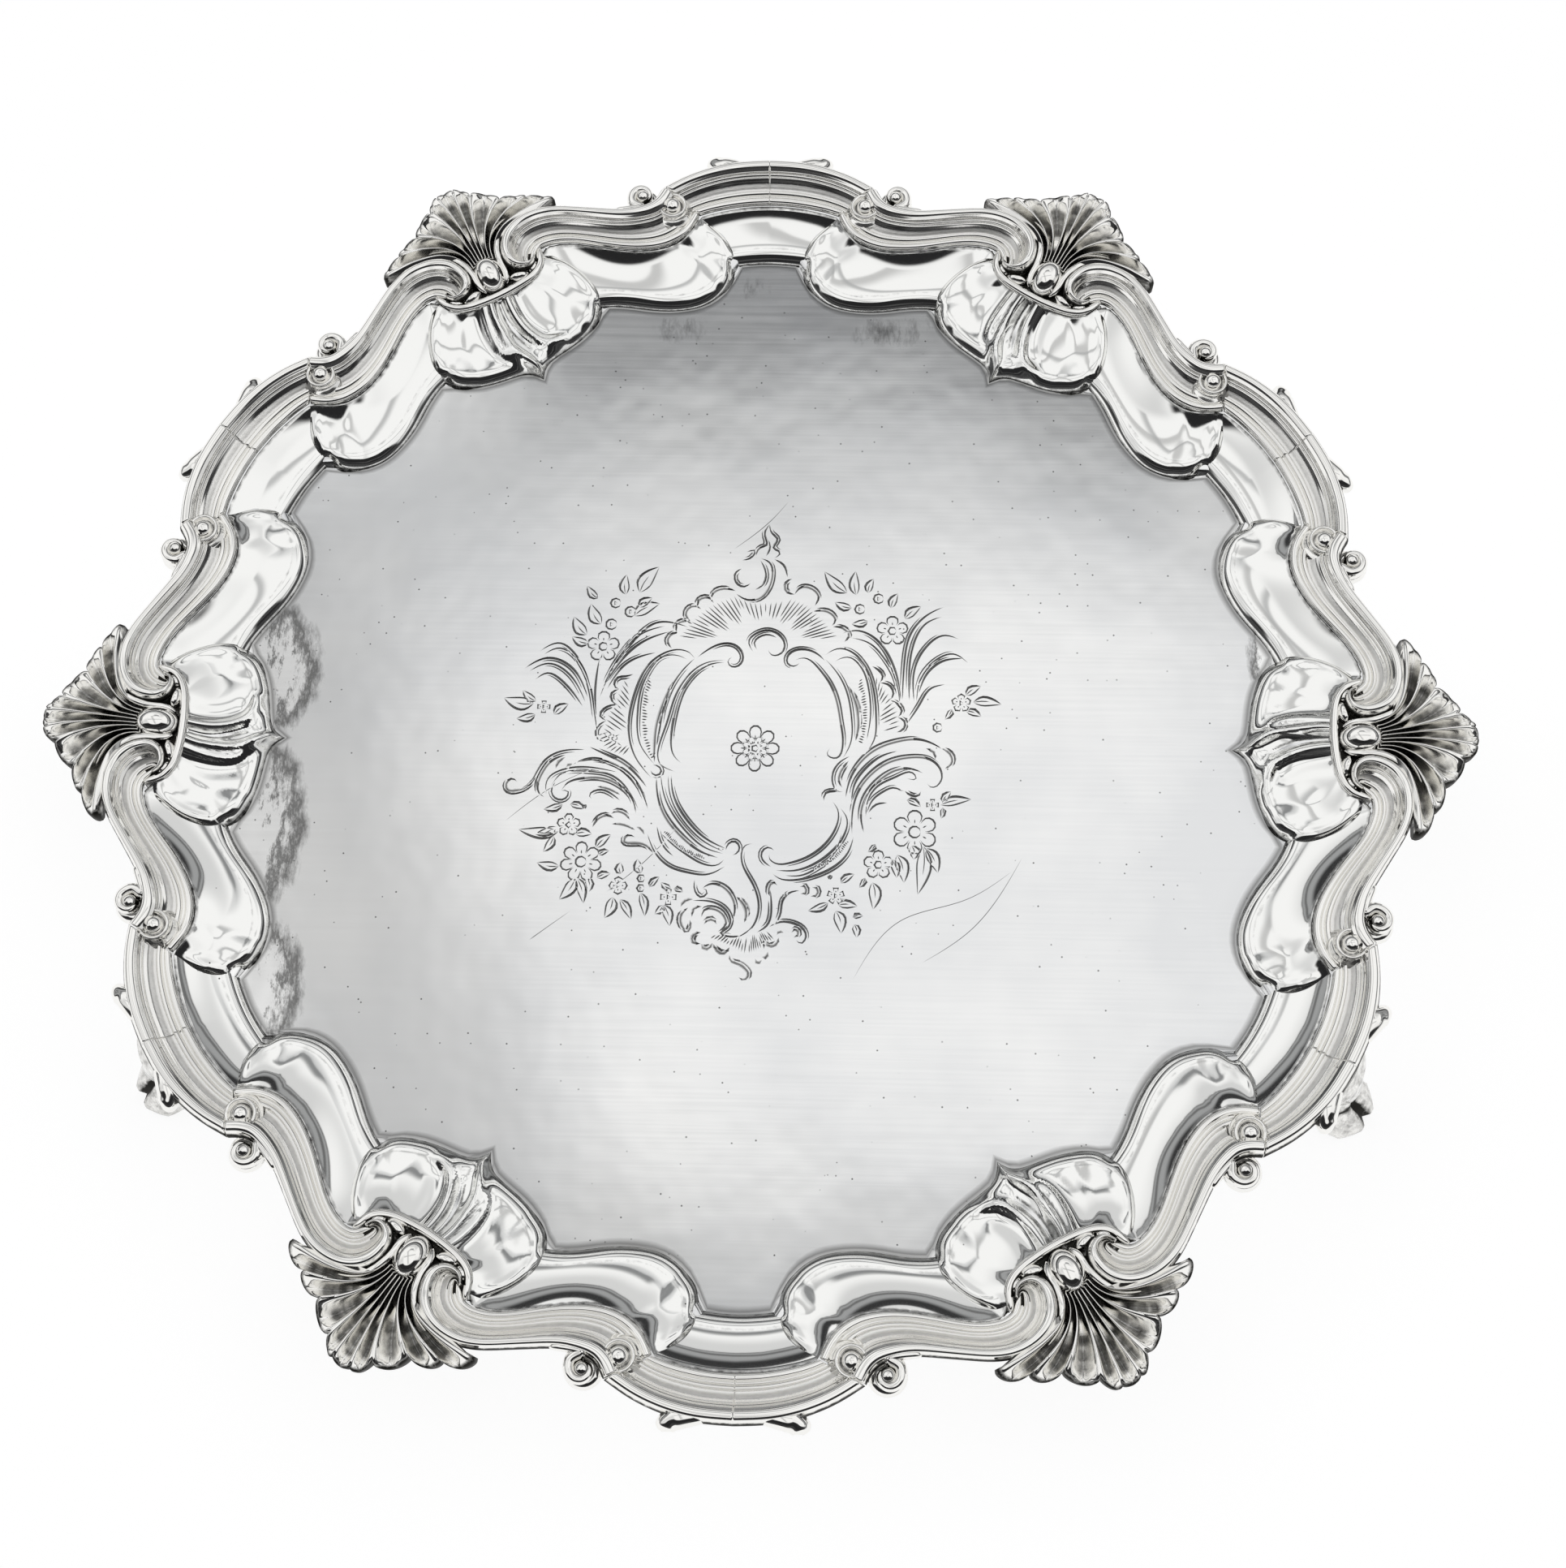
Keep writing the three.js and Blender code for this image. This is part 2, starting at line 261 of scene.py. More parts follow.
# Closed sheet between a foot line and a rim line: a top, and an underside of the same shape.
def panelSurface(foot, rim, heightAt, mirrored):
    def surface(along, across):
        q = np.abs(2 * along - 1) if mirrored else along
        hand = np.where(along < 0.5, -1.0, 1.0) if mirrored else np.ones_like(along)
        q = q ** 1.2 if mirrored else q
        share = np.interp(across, [0, 0.04, 0.16, 0.72, 0.76, 1], [0, 0, 0.2, 1, 1, 0])
        below = np.interp(across, [0, 0.04, 0.72, 0.76, 1], [1, 0, 0, 1, 1])
        plan = foot(q) + (rim(q) - foot(q)) * share[:, None]
        plan = plan * np.column_stack([hand, np.ones_like(hand)])
        height, shadeAndGrime = heightAt(plan)
        return inMetres(plan, height - below * shoulder["thickness"]), {"recess": shadeAndGrime}
    return surface


def addLobe(bm):
    foot = curveThrough(lobeFoot + lobeEnd)
    top = curveThrough(lobeTop)
    whole = foot(spread())
    corner, peak = np.array([0.203, 1.1]), np.array([0.131, 1.264])
    turn = np.argmin(np.linalg.norm(whole - corner, axis=1))
    rimLine = top(spread(80))
    folds = [  # line of each fold down the lobe, its height and its half width in millimetres
        ([(-0.023, 1.205), (-0.033, 1.165), (-0.034, 1.138), (-0.030, 1.091), (-0.015, 1.056), (0, 1.0)],
         1.7, 1.0),
        ([(-0.045, 1.2), (-0.052, 1.172), (-0.057, 1.137), (-0.052, 1.092), (-0.034, 1.068), (-0.012, 1.03)],
         1.2, 1.25),
        ([(0.012, 1.2), (0.012, 1.145), (0.024, 1.1), (0.046, 1.072), (0.078, 1.06)], 1.25, 1.3),
        ([(-0.006, 1.195), (-0.010, 1.165), (-0.004, 1.125), (0.012, 1.085)], -0.8, 1.0),
        ([(-0.078, 1.185), (-0.085, 1.14), (-0.075, 1.1)], -0.5, 2.4),
        ([(0.032, 1.185), (0.036, 1.14), (0.055, 1.1)], -0.7, 2.2),
    ]
    lines = [(curveThrough(line)(spread(60)), height, width) for line, height, width in folds]
    creases = [[(-0.010, 1.2), (-0.014, 1.165), (-0.012, 1.125), (0.0, 1.09)],
               [(-0.034, 1.2), (-0.043, 1.165), (-0.045, 1.13), (-0.04, 1.095)],
               [(0.002, 1.2), (0.0, 1.165), (0.006, 1.12), (0.026, 1.086)]]
    creases = [curveThrough(crease)(spread(40)) for crease in creases]

    def heightAt(points):
        mirrored = points * np.column_stack([np.sign(points[:, 0] + 1e-9), np.ones(len(points))])
        height, shadeAndGrime = panelHeight(mirrored, whole[:turn + 1], whole[turn:], rimLine, corner, peak)
        inside = smoothStep(distanceTo(mirrored, whole[:turn + 1]) * cuspMm, 0.2, 3.5)
        for line, rise, width in lines:
            height += rise * inside * np.exp(-(distanceTo(points, line) * cuspMm / width) ** 2)
        # painted shade along the creases between the folds
        for crease in creases:
            dark = 0.75 * inside * np.exp(-(distanceTo(points, crease) * cuspMm / 0.35) ** 2)
            shadeAndGrime = np.maximum(shadeAndGrime, dark)
        return height, shadeAndGrime

    addSheet(bm, 120, 40, panelSurface(foot, top, heightAt, True), tube=True)


def addPanel(bm, side):
    foot = curveThrough(panelFoot + panelEnd)
    whole = foot(spread())
    turn = np.argmin(np.linalg.norm(whole - np.array([0.515, 1.045]), axis=1))
    inner = scrollInner(np.linspace(0.3, 1, 200))
    start = np.argmin(np.linalg.norm(inner - np.array([0.132, 1.264]), axis=1))
    rimLine = np.vstack([[(0.11, 1.235)], inner[start:]])
    corner, peak = np.array([0.515, 1.045]), np.array([0.4906, 1.1653])

    def heightAt(points):
        return panelHeight(points, whole[:turn + 1], whole[turn:], rimLine, corner, peak)

    def rim(share):
        where = np.interp(share, [0, 0.12, 0.7, 0.85, 1], [0, 0.12, 0.86, 0.96, 1])
        length = np.concatenate([[0], np.cumsum(np.linalg.norm(np.diff(rimLine, axis=0), axis=1))])
        at = where * length[-1]
        return np.column_stack([np.interp(at, length, rimLine[:, k]) for k in (0, 1)])

    def mirrored(along, across):
        places, shadeTarnishAndMatt = panelSurface(foot, rim, heightAt, False)(along, across)
        return places * np.array([side, 1, 1]), shadeTarnishAndMatt

    addSheet(bm, 90, 36, mirrored, tube=True)


def addArchPanel(bm):
    foot = curveThrough(archFoot)
    rimLine = np.vstack([archInner(spread(60)), (archInner(spread(60)) * np.array([-1, 1]))[::-1][1:]])
    footLine = foot(spread(80))

    def heightAt(points):
        return panelHeight(points, footLine, None, rimLine, None, None)

    def rim(share):
        at = share * (len(rimLine) - 1)
        return np.column_stack([np.interp(at, range(len(rimLine)), rimLine[:, k]) for k in (0, 1)])

    def turnedSurface(along, across):
        places, shadeTarnishAndMatt = panelSurface(foot, rim, heightAt, False)(along, across)
        places[:, :2] = turnedPoints(places[:, :2], -30)
        return places, shadeTarnishAndMatt

    addSheet(bm, 60, 30, turnedSurface, tube=True)


# Share of the moulding's width from its inner edge, and height: fillet, groove, bead, hollow, roll.
mouldingSection = [
    (0.02, 6.2), (0.0, 6.6), (0.0, 7.5), (0.03, 8.0), (0.075, 8.25), (0.12, 8.05), (0.15, 7.6), (0.175, 7.2),
    (0.195, 7.15), (0.215, 7.4), (0.245, 8.0), (0.28, 8.25), (0.315, 8.0), (0.335, 7.5), (0.355, 7.45),
    (0.40, 7.7), (0.47, 8.2), (0.54, 8.95), (0.59, 9.7), (0.61, 9.95), (0.63, 10.0), (0.645, 10.4),
    (0.68, 11.3), (0.73, 11.95), (0.79, 12.2), (0.85, 12.05), (0.91, 11.5), (0.96, 10.6), (0.99, 9.5),
    (0.975, 8.0), (0.95, 7.0), (0.93, 6.4), (0.86, 6.2),
]


def mouldingSurface(inner, outer, start=0.0, end=1.0):
    section = curveThrough(mouldingSection + [mouldingSection[0]])
    grooves = [0.19, 0.34, 0.625]

    def surface(along, across):
        where = start + along * (end - start)
        a, b = inner(where), outer(where)
        shape = section(across)
        share, height = shape[:, 0], shape[:, 1]
        width = np.linalg.norm(b - a, axis=1)
        low = np.clip(width / 0.072, 0, 1) ** 0.35
        plan = a + (b - a) * share[:, None]
        top = smoothStep(height, 6.6, 7.1)
        # painted shade and tarnish in the grooves, and painted shade on the sides and underside below the top
        recess = sum(np.exp(-((share - g) / 0.018) ** 2) for g in grooves) * top
        # a thin dark line of painted reflection and shade runs along the outer side, under the roll
        underRoll = smoothStep(height, 8.4, 9.2)
        outside = smoothStep(share, 0.88, 0.94) * (1 - smoothStep(height, 10.2, 11.4)) * underRoll
        recess = np.clip(recess + (1 - top) + outside, 0, 1)
        matt = smoothStep(share, 0.35, 0.38) * (1 - smoothStep(share, 0.46, 0.52)) * top
        return inMetres(plan, castBase + (height - castBase) * low), {"recess": recess, "matt": matt}
    return surface


# A turned button for the eyes: radius and height down its side, from its centre.
def addButton(bm, centre, radius, section):
    shape = curveThrough(section)

    def surface(along, across):
        ring = shape(across)
        angle = along * math.tau
        plan = np.column_stack([centre[0] + ring[:, 0] * radius * np.cos(angle),
                                centre[1] + ring[:, 0] * radius * np.sin(angle)])
        # painted shade and tarnish in a ring at 0.63 of the radius, where the eye has its groove
        groove = 0.8 * np.exp(-((ring[:, 0] - 0.63) / 0.06) ** 2)
        return inMetres(plan, ring[:, 1]), {"recess": groove}

    addSheet(bm, 36, 22, surface)


# A tapering round or oval bar along a line of (x, y, height, radius) stations.
def addBar(bm, stations, columns, sides, flat=1.0):
    path = curveThrough([(x, y, z / cuspMm, r / cuspMm) for x, y, z, r in stations])

    def surface(along, across):
        here = path(along)
        ahead = path(np.clip(along + 0.01, 0, 1)) - path(np.clip(along - 0.01, 0, 1))
        heading = ahead[:, :2] / np.maximum(np.linalg.norm(ahead[:, :2], axis=1), 1e-9)[:, None]
        angle = across * math.tau
        radius = here[:, 3] * np.sqrt(np.clip(1 - (2 * along - 1) ** 8, 0, 1))
        side = np.cos(angle) * radius
        plan = here[:, :2] + np.column_stack([heading[:, 1], -heading[:, 0]]) * side[:, None]
        height = (here[:, 2] + np.sin(angle) * radius * flat) * cuspMm
        return inMetres(plan, height), {}

    addSheet(bm, columns, sides, surface)


def spiralStations(centre, radius, turns, startDegrees, hand, height, thickness):
    stations = []
    count = int(10 * turns) + 1
    for i in range(count):
        share = i / (count - 1)
        angle = math.radians(startDegrees) + hand * share * turns * math.tau
        reach = radius * (1 - 0.82 * share)
        stations.append((centre[0] + reach * math.cos(angle), centre[1] + reach * math.sin(angle),
                         height, thickness * (1 - 0.45 * share)))
    return stations


eyeSection = [(0, 12.1), (0.3, 11.7), (0.54, 10.6), (0.65, 9.6), (0.7, 9.8), (0.78, 10.6), (0.88, 10.9),
              (0.97, 10.2), (1.0, 9.2), (0.96, 6.3), (0.5, 6.2), (0, 6.2)]


def sScrollMesh():
    bm = startMesh()
    addSheet(bm, 150, 62, mouldingSurface(scrollInner, scrollOuter, 0.0, 0.995), tube=True)
    curl = (0.393, 1.253)
    addButton(bm, curl, 0.036,
              [(0, 8.6), (0.5, 8.5), (0.9, 8.0), (1.0, 7.2), (1.0, 6.4), (0.5, 6.2), (0, 6.2)])
    addButton(bm, curl, 0.019, [(0, 11.7), (0.45, 11.3), (0.85, 9.8), (1.0, 8.3), (0.9, 7.6), (0, 7.6)])
    spiral = spiralStations(curl, 0.031, 1.05, 235, -1, 9.8, 1.3)[:10]
    arm = [(0.318, 1.252, 10.2, 0.9), (0.35, 1.234, 10.2, 1.1)] + spiral
    addBar(bm, arm, columns=80, sides=14, flat=1.35)
    return finishMesh(bm, "sScroll")


def cScrollMesh():
    bm = startMesh()
    addSheet(bm, 60, 62, mouldingSurface(archInner, archOuter, 0.005, 1.0), tube=True)
    addButton(bm, (-0.218, 1.257), 0.033, eyeSection)
    addBar(bm, [(-0.045, 1.36, 9.6, 1.4), (-0.083, 1.36, 9.6, 2.3), (-0.11, 1.366, 9.4, 2.4),
                (-0.123, 1.375, 9.0, 2.2), (-0.128, 1.381, 8.8, 2.1), (-0.132, 1.391, 8.6, 1.1)],
           columns=40, sides=18, flat=0.95)
    return finishMesh(bm, "cScroll")


# Half a shell, from its middle outwards: the notches between its lobes, the lobes' tips and the
# points they fan out from. The depth of the scoops and the radii of the arms are in millimetres.
shell = {
    "notches": [(0.020, 1.476), (0.050, 1.447), (0.105, 1.402), (0.160, 1.376), (0.212, 1.340)],
    "tips": [(0.0, 1.4872), (0.037, 1.476), (0.085, 1.441), (0.143, 1.404), (0.199, 1.371)],
    "hubs": [(0.004, 1.285), (0.011, 1.284), (0.018, 1.283), (0.025, 1.281), (0.034, 1.276)],
    "scoopDepth": 4.6,
    "arm": [(0.024, 1.213, 8.0, 0.5), (0.034, 1.235, 8.9, 0.75), (0.036, 1.265, 9.6, 0.85),
            (0.045, 1.3, 10.0, 0.8), (0.07, 1.332, 9.6, 0.6), (0.105, 1.35, 9.0, 0.3)],
}


def shellSurface(along, across):
    side = np.where(along < 0.5, -1.0, 1.0)
    sweep = np.abs(2 * along - 1) * 4.5
    lobeNumber = np.clip(np.floor(sweep + 0.5), 0, 4).astype(int)
    within = sweep + 0.5 - lobeNumber        # 0 to 1 across each lobe
    notches = np.vstack([[(-0.020, 1.476)], shell["notches"]])
    hubs = np.vstack([[(-0.004, 1.285)], shell["hubs"]])
    tips = np.array(shell["tips"])
    a, b = notches[lobeNumber], notches[lobeNumber + 1]
    blend = within[:, None]
    hub = hubs[lobeNumber] * (1 - blend) + hubs[lobeNumber + 1] * blend
    chord = a * (1 - blend) + b * blend
    bulge = tips[lobeNumber] - (a + b) / 2
    edge = chord + bulge * np.sqrt(np.clip(np.sin(np.pi * within), 0, 1))[:, None]
    share = np.interp(across, [0, 0.03, 0.72, 0.78, 1], [0, 0, 1, 1, 0])
    below = np.interp(across, [0, 0.03, 0.72, 0.78, 1], [1, 0, 0, 1, 1])
    reach = np.linalg.norm(edge - hub, axis=1)[:, None]
    bend = hub + np.column_stack([hub[:, 0] * 0.6, np.ones(len(hub))]) * reach * np.array([1.0, 0.42])
    p = share[:, None]
    plan = hub * (1 - p) ** 2 + bend * 2 * p * (1 - p) + edge * p ** 2
    swell = np.interp(share, [0, 0.2, 0.5, 0.8, 0.95, 1], [9.4, 10.6, 11.8, 12.1, 11.7, 10.9])
    hollow = np.interp(share, [0, 0.08, 0.3, 0.6, 0.85, 0.95, 1], [0.2, 0.55, 0.9, 1, 0.9, 0.5, 0.3])
    scoop = np.clip(np.sin(np.pi * within), 0, 1) ** np.interp(share, [0, 0.5, 1], [3.4, 2.5, 1.8]) * hollow
    width = np.linalg.norm(b - a, axis=1) / 0.055
    depth = shell["scoopDepth"] * np.clip(width, 0.75, 1.0)
    height = swell - depth * scoop
    ribs = 0.1 * np.cos(within * math.tau * 3) * smoothStep(share, 0.6, 0.85) * np.sin(np.pi * within)
    height = np.where(below > 0, height + (castBase - height) * below, height + ribs)
    floor = np.exp(-((within - 0.5) / 0.2) ** 2)
    dull = smoothStep(share, 0.42, 0.6) * (1 - smoothStep(share, 0.86, 0.94))
    # painted shade and tarnish in the floors of the scoops, most towards the hub, painted shade all over the
    # underside, and a painted dark edge along the rim that stands in for its dark reflection
    recess = np.clip(floor * (0.6 * dull + 0.75 * (1 - smoothStep(share, 0.25, 0.55))) + below
                     + 0.9 * smoothStep(share, 0.955, 0.98), 0, 1)
    matt = 0.7 * floor * dull * (1 - below)
    plan = plan * np.column_stack([side, np.ones_like(side)])
    return inMetres(plan, height), {"recess": recess, "matt": matt}


def shellMesh():
    bm = startMesh()
    addSheet(bm, 198, 56, shellSurface, tube=True)
    pillow = [(0, 1.0), (0.35, 0.95), (0.65, 0.78), (0.88, 0.5), (1.0, 0.15), (1.0, -0.2), (0.5, -0.3),
              (0, -0.3)]
    dome = curveThrough(pillow)
    pillowBase = 7.4

    def pillowSurface(centre, size, turn, top):
        def surface(along, across):
            ring = dome(across)
            angle = along * math.tau
            x = ring[:, 0] * size[0] * np.cos(angle)
            y = ring[:, 0] * size[1] * np.sin(angle)
            plan = turnedPoints(np.column_stack([x, y]), turn) + np.array(centre)
            # painted shade round the foot of each pillow, where it meets the shell
            shadeAndGrime = 1 - smoothStep(ring[:, 1], 0.1, 0.5)
            return inMetres(plan, pillowBase + (top - pillowBase) * ring[:, 1]), {"recess": shadeAndGrime}
        return surface

    addSheet(bm, 36, 22, pillowSurface((0, 1.252), (0.036, 0.047), 0, 11.9))
    for side in (-1, 1):
        addSheet(bm, 28, 16, pillowSurface((side * 0.058, 1.219), (0.024, 0.013), side * -12, 9.4))
        addSheet(bm, 28, 16, pillowSurface((side * 0.097, 1.2255), (0.016, 0.011), side * 35, 8.8))
        arm = [(side * x, y, z, r) for x, y, z, r in shell["arm"]]
        addBar(bm, arm, columns=44, sides=12)
    rail = [(x, y, 7.8, 0.98) for x, y in lobeTop]
    mirrored = [(-x, y, z, r) for x, y, z, r in rail[:0:-1]]
    addBar(bm, mirrored + rail, columns=110, sides=14, flat=1.1)

    # a plate under the shell, between its pillows and the rail, coloured dark all over as painted shade
    def saddle(along, across):
        x = (along - 0.5) * 2
        top = np.interp(np.abs(x), [0, 0.3, 1], [1.30, 1.27, 1.262])
        bottom = np.interp(np.abs(x), [0, 0.4, 0.75, 1], [1.197, 1.2, 1.212, 1.255])
        share = np.interp(across, [0, 0.5, 0.52, 1], [0, 1, 1, 0])
        below = np.interp(across, [0, 0.04, 0.5, 0.52, 1], [1, 0, 0, 1, 1])
        plan = np.column_stack([x * 0.118, bottom + (top - bottom) * share])
        return inMetres(plan, 7.5 - below * 1.3), {"recess": 0.9}

    addSheet(bm, 40, 24, saddle, tube=True)
    return finishMesh(bm, "shell")


# Sizes in millimetres, but for the engraved part.
plate = {
    "sheet": 1.3,
    "engravedRadius": 0.62,   # the part of the field that holds the engraving, in cusp radii
    "grooveDepth": 0.2,
    "columns": 360,
    "rows": 44,
    "riser": 1.8,    # rise at the foot of the shoulder, then of its sweep up to the rim
    "sweep": 4.8,
}


def plateRadii():
    # foot line, rim line and edge of the plate by angle from the shell's axis, over half a sector
    foot = curveThrough(lobeFoot + lobeEnd)(spread(600))
    panel = curveThrough(panelFoot + panelEnd)(spread(600))
    arch = turnedPoints(curveThrough(archFoot)(spread(400)), -30)
    samples = np.vstack([foot, panel[20:], arch])
    angles = np.degrees(np.arctan2(samples[:, 0], samples[:, 1]))
    reach = np.hypot(samples[:, 0], samples[:, 1])
    steps = np.linspace(0, 30, 121)
    inner = [reach[np.abs(angles - step) < 0.25].min() for step in steps]
    rims = np.vstack([curveThrough(lobeTop)(spread(100)), scrollInner(np.linspace(0.32, 1, 200)),
                      turnedPoints(archInner(spread(100)), -30)])
    # the plate ends under the mouldings, at four fifths of their width
    along = np.linspace(0.4, 1, 200)
    underScroll = scrollInner(along) * 0.2 + scrollOuter(along) * 0.8
    underArch = archInner(spread(100)) * 0.2 + archOuter(spread(100)) * 0.8
    edges = np.vstack([[(0, 1.33)], underScroll, turnedPoints(underArch, -30)])
    lines = []
    for line in (rims, edges):
        order = np.argsort(np.arctan2(line[:, 0], line[:, 1]))
        at = np.degrees(np.arctan2(line[order, 0], line[order, 1]))
        lines.append(np.interp(steps, at, np.hypot(line[order, 0], line[order, 1])))
    return steps, np.array(inner), lines[0], lines[1]


def addPlateBody(bm):
    steps, footReach, rimReach, edgeReach = plateRadii()
    start = plate["engravedRadius"]
    riser, sweep = plate["riser"], plate["sweep"]
    rowsTop = 20    # rows of the shoulder, after four at the foot of the riser

    def surface(along, across):
        angle = along * 360
        off = np.abs(angle % 60 - 30)
        foot, rim, edge = (np.interp(off, steps, line) for line in (footReach, rimReach, edgeReach))
        row = across * plate["rows"]
        fromFoot = np.interp(row, [1, 2, 3, 4], [-0.05, -0.016, -0.004, 0.012])
        r = np.where(row < 1, start + (foot - 0.05 - start) * row, foot + fromFoot)
        share = np.clip((row - 4) / rowsTop, 0, 1)
        r = np.where(row > 4, foot + 0.012 + (rim - foot - 0.012) * share, r)
        r = np.where(row > 4 + rowsTop, rim + (edge - rim) * np.clip((row - 24) / 2, 0, 1), r)
        w = np.clip((r - foot) / (rim - foot), 0, 1)
        sag = 0.9 * smoothStep(w, 0.0, 0.1) * (1 - smoothStep(r, rim - 0.01, rim))
        z = np.where(row > 4, riser * smoothStep(w, 0.03, 0.25) + sweep * w ** 2.1 - sag, 0)
        under = row > 26.5
        back = np.clip((row - 27) / 17, 0, 1)
        rUnder = np.interp(back, [0, 0.12, 0.3, 0.5, 0.7, 0.8, 1], [1, 0.9, 0.84, 0.8, 0.77, 0.72, 0]) * edge
        wUnder = np.clip((rUnder - foot) / (rim - foot), 0, 1)
        zUnder = riser * smoothStep(wUnder, 0.0, 0.22) + sweep * wUnder ** 2.1 - plate["sheet"]
        zUnder = zUnder - 0.35 * smoothStep(wUnder, 0, 0.1)
        r = np.where(under, rUnder, r)
        z = np.where(under, zUnder, z)
        turn = np.radians(angle)
        # painted shade and tarnish on the field at the foot of the shoulder
        shadeAndGrime = 0.85 * np.exp(-((r - foot) * cuspMm / 0.9) ** 2) * (row <= 5)
        plan = np.column_stack([r * np.sin(turn), r * np.cos(turn)])
        return inMetres(plan, z), {"recess": shadeAndGrime}

    addSheet(bm, plate["columns"], plate["rows"], surface)


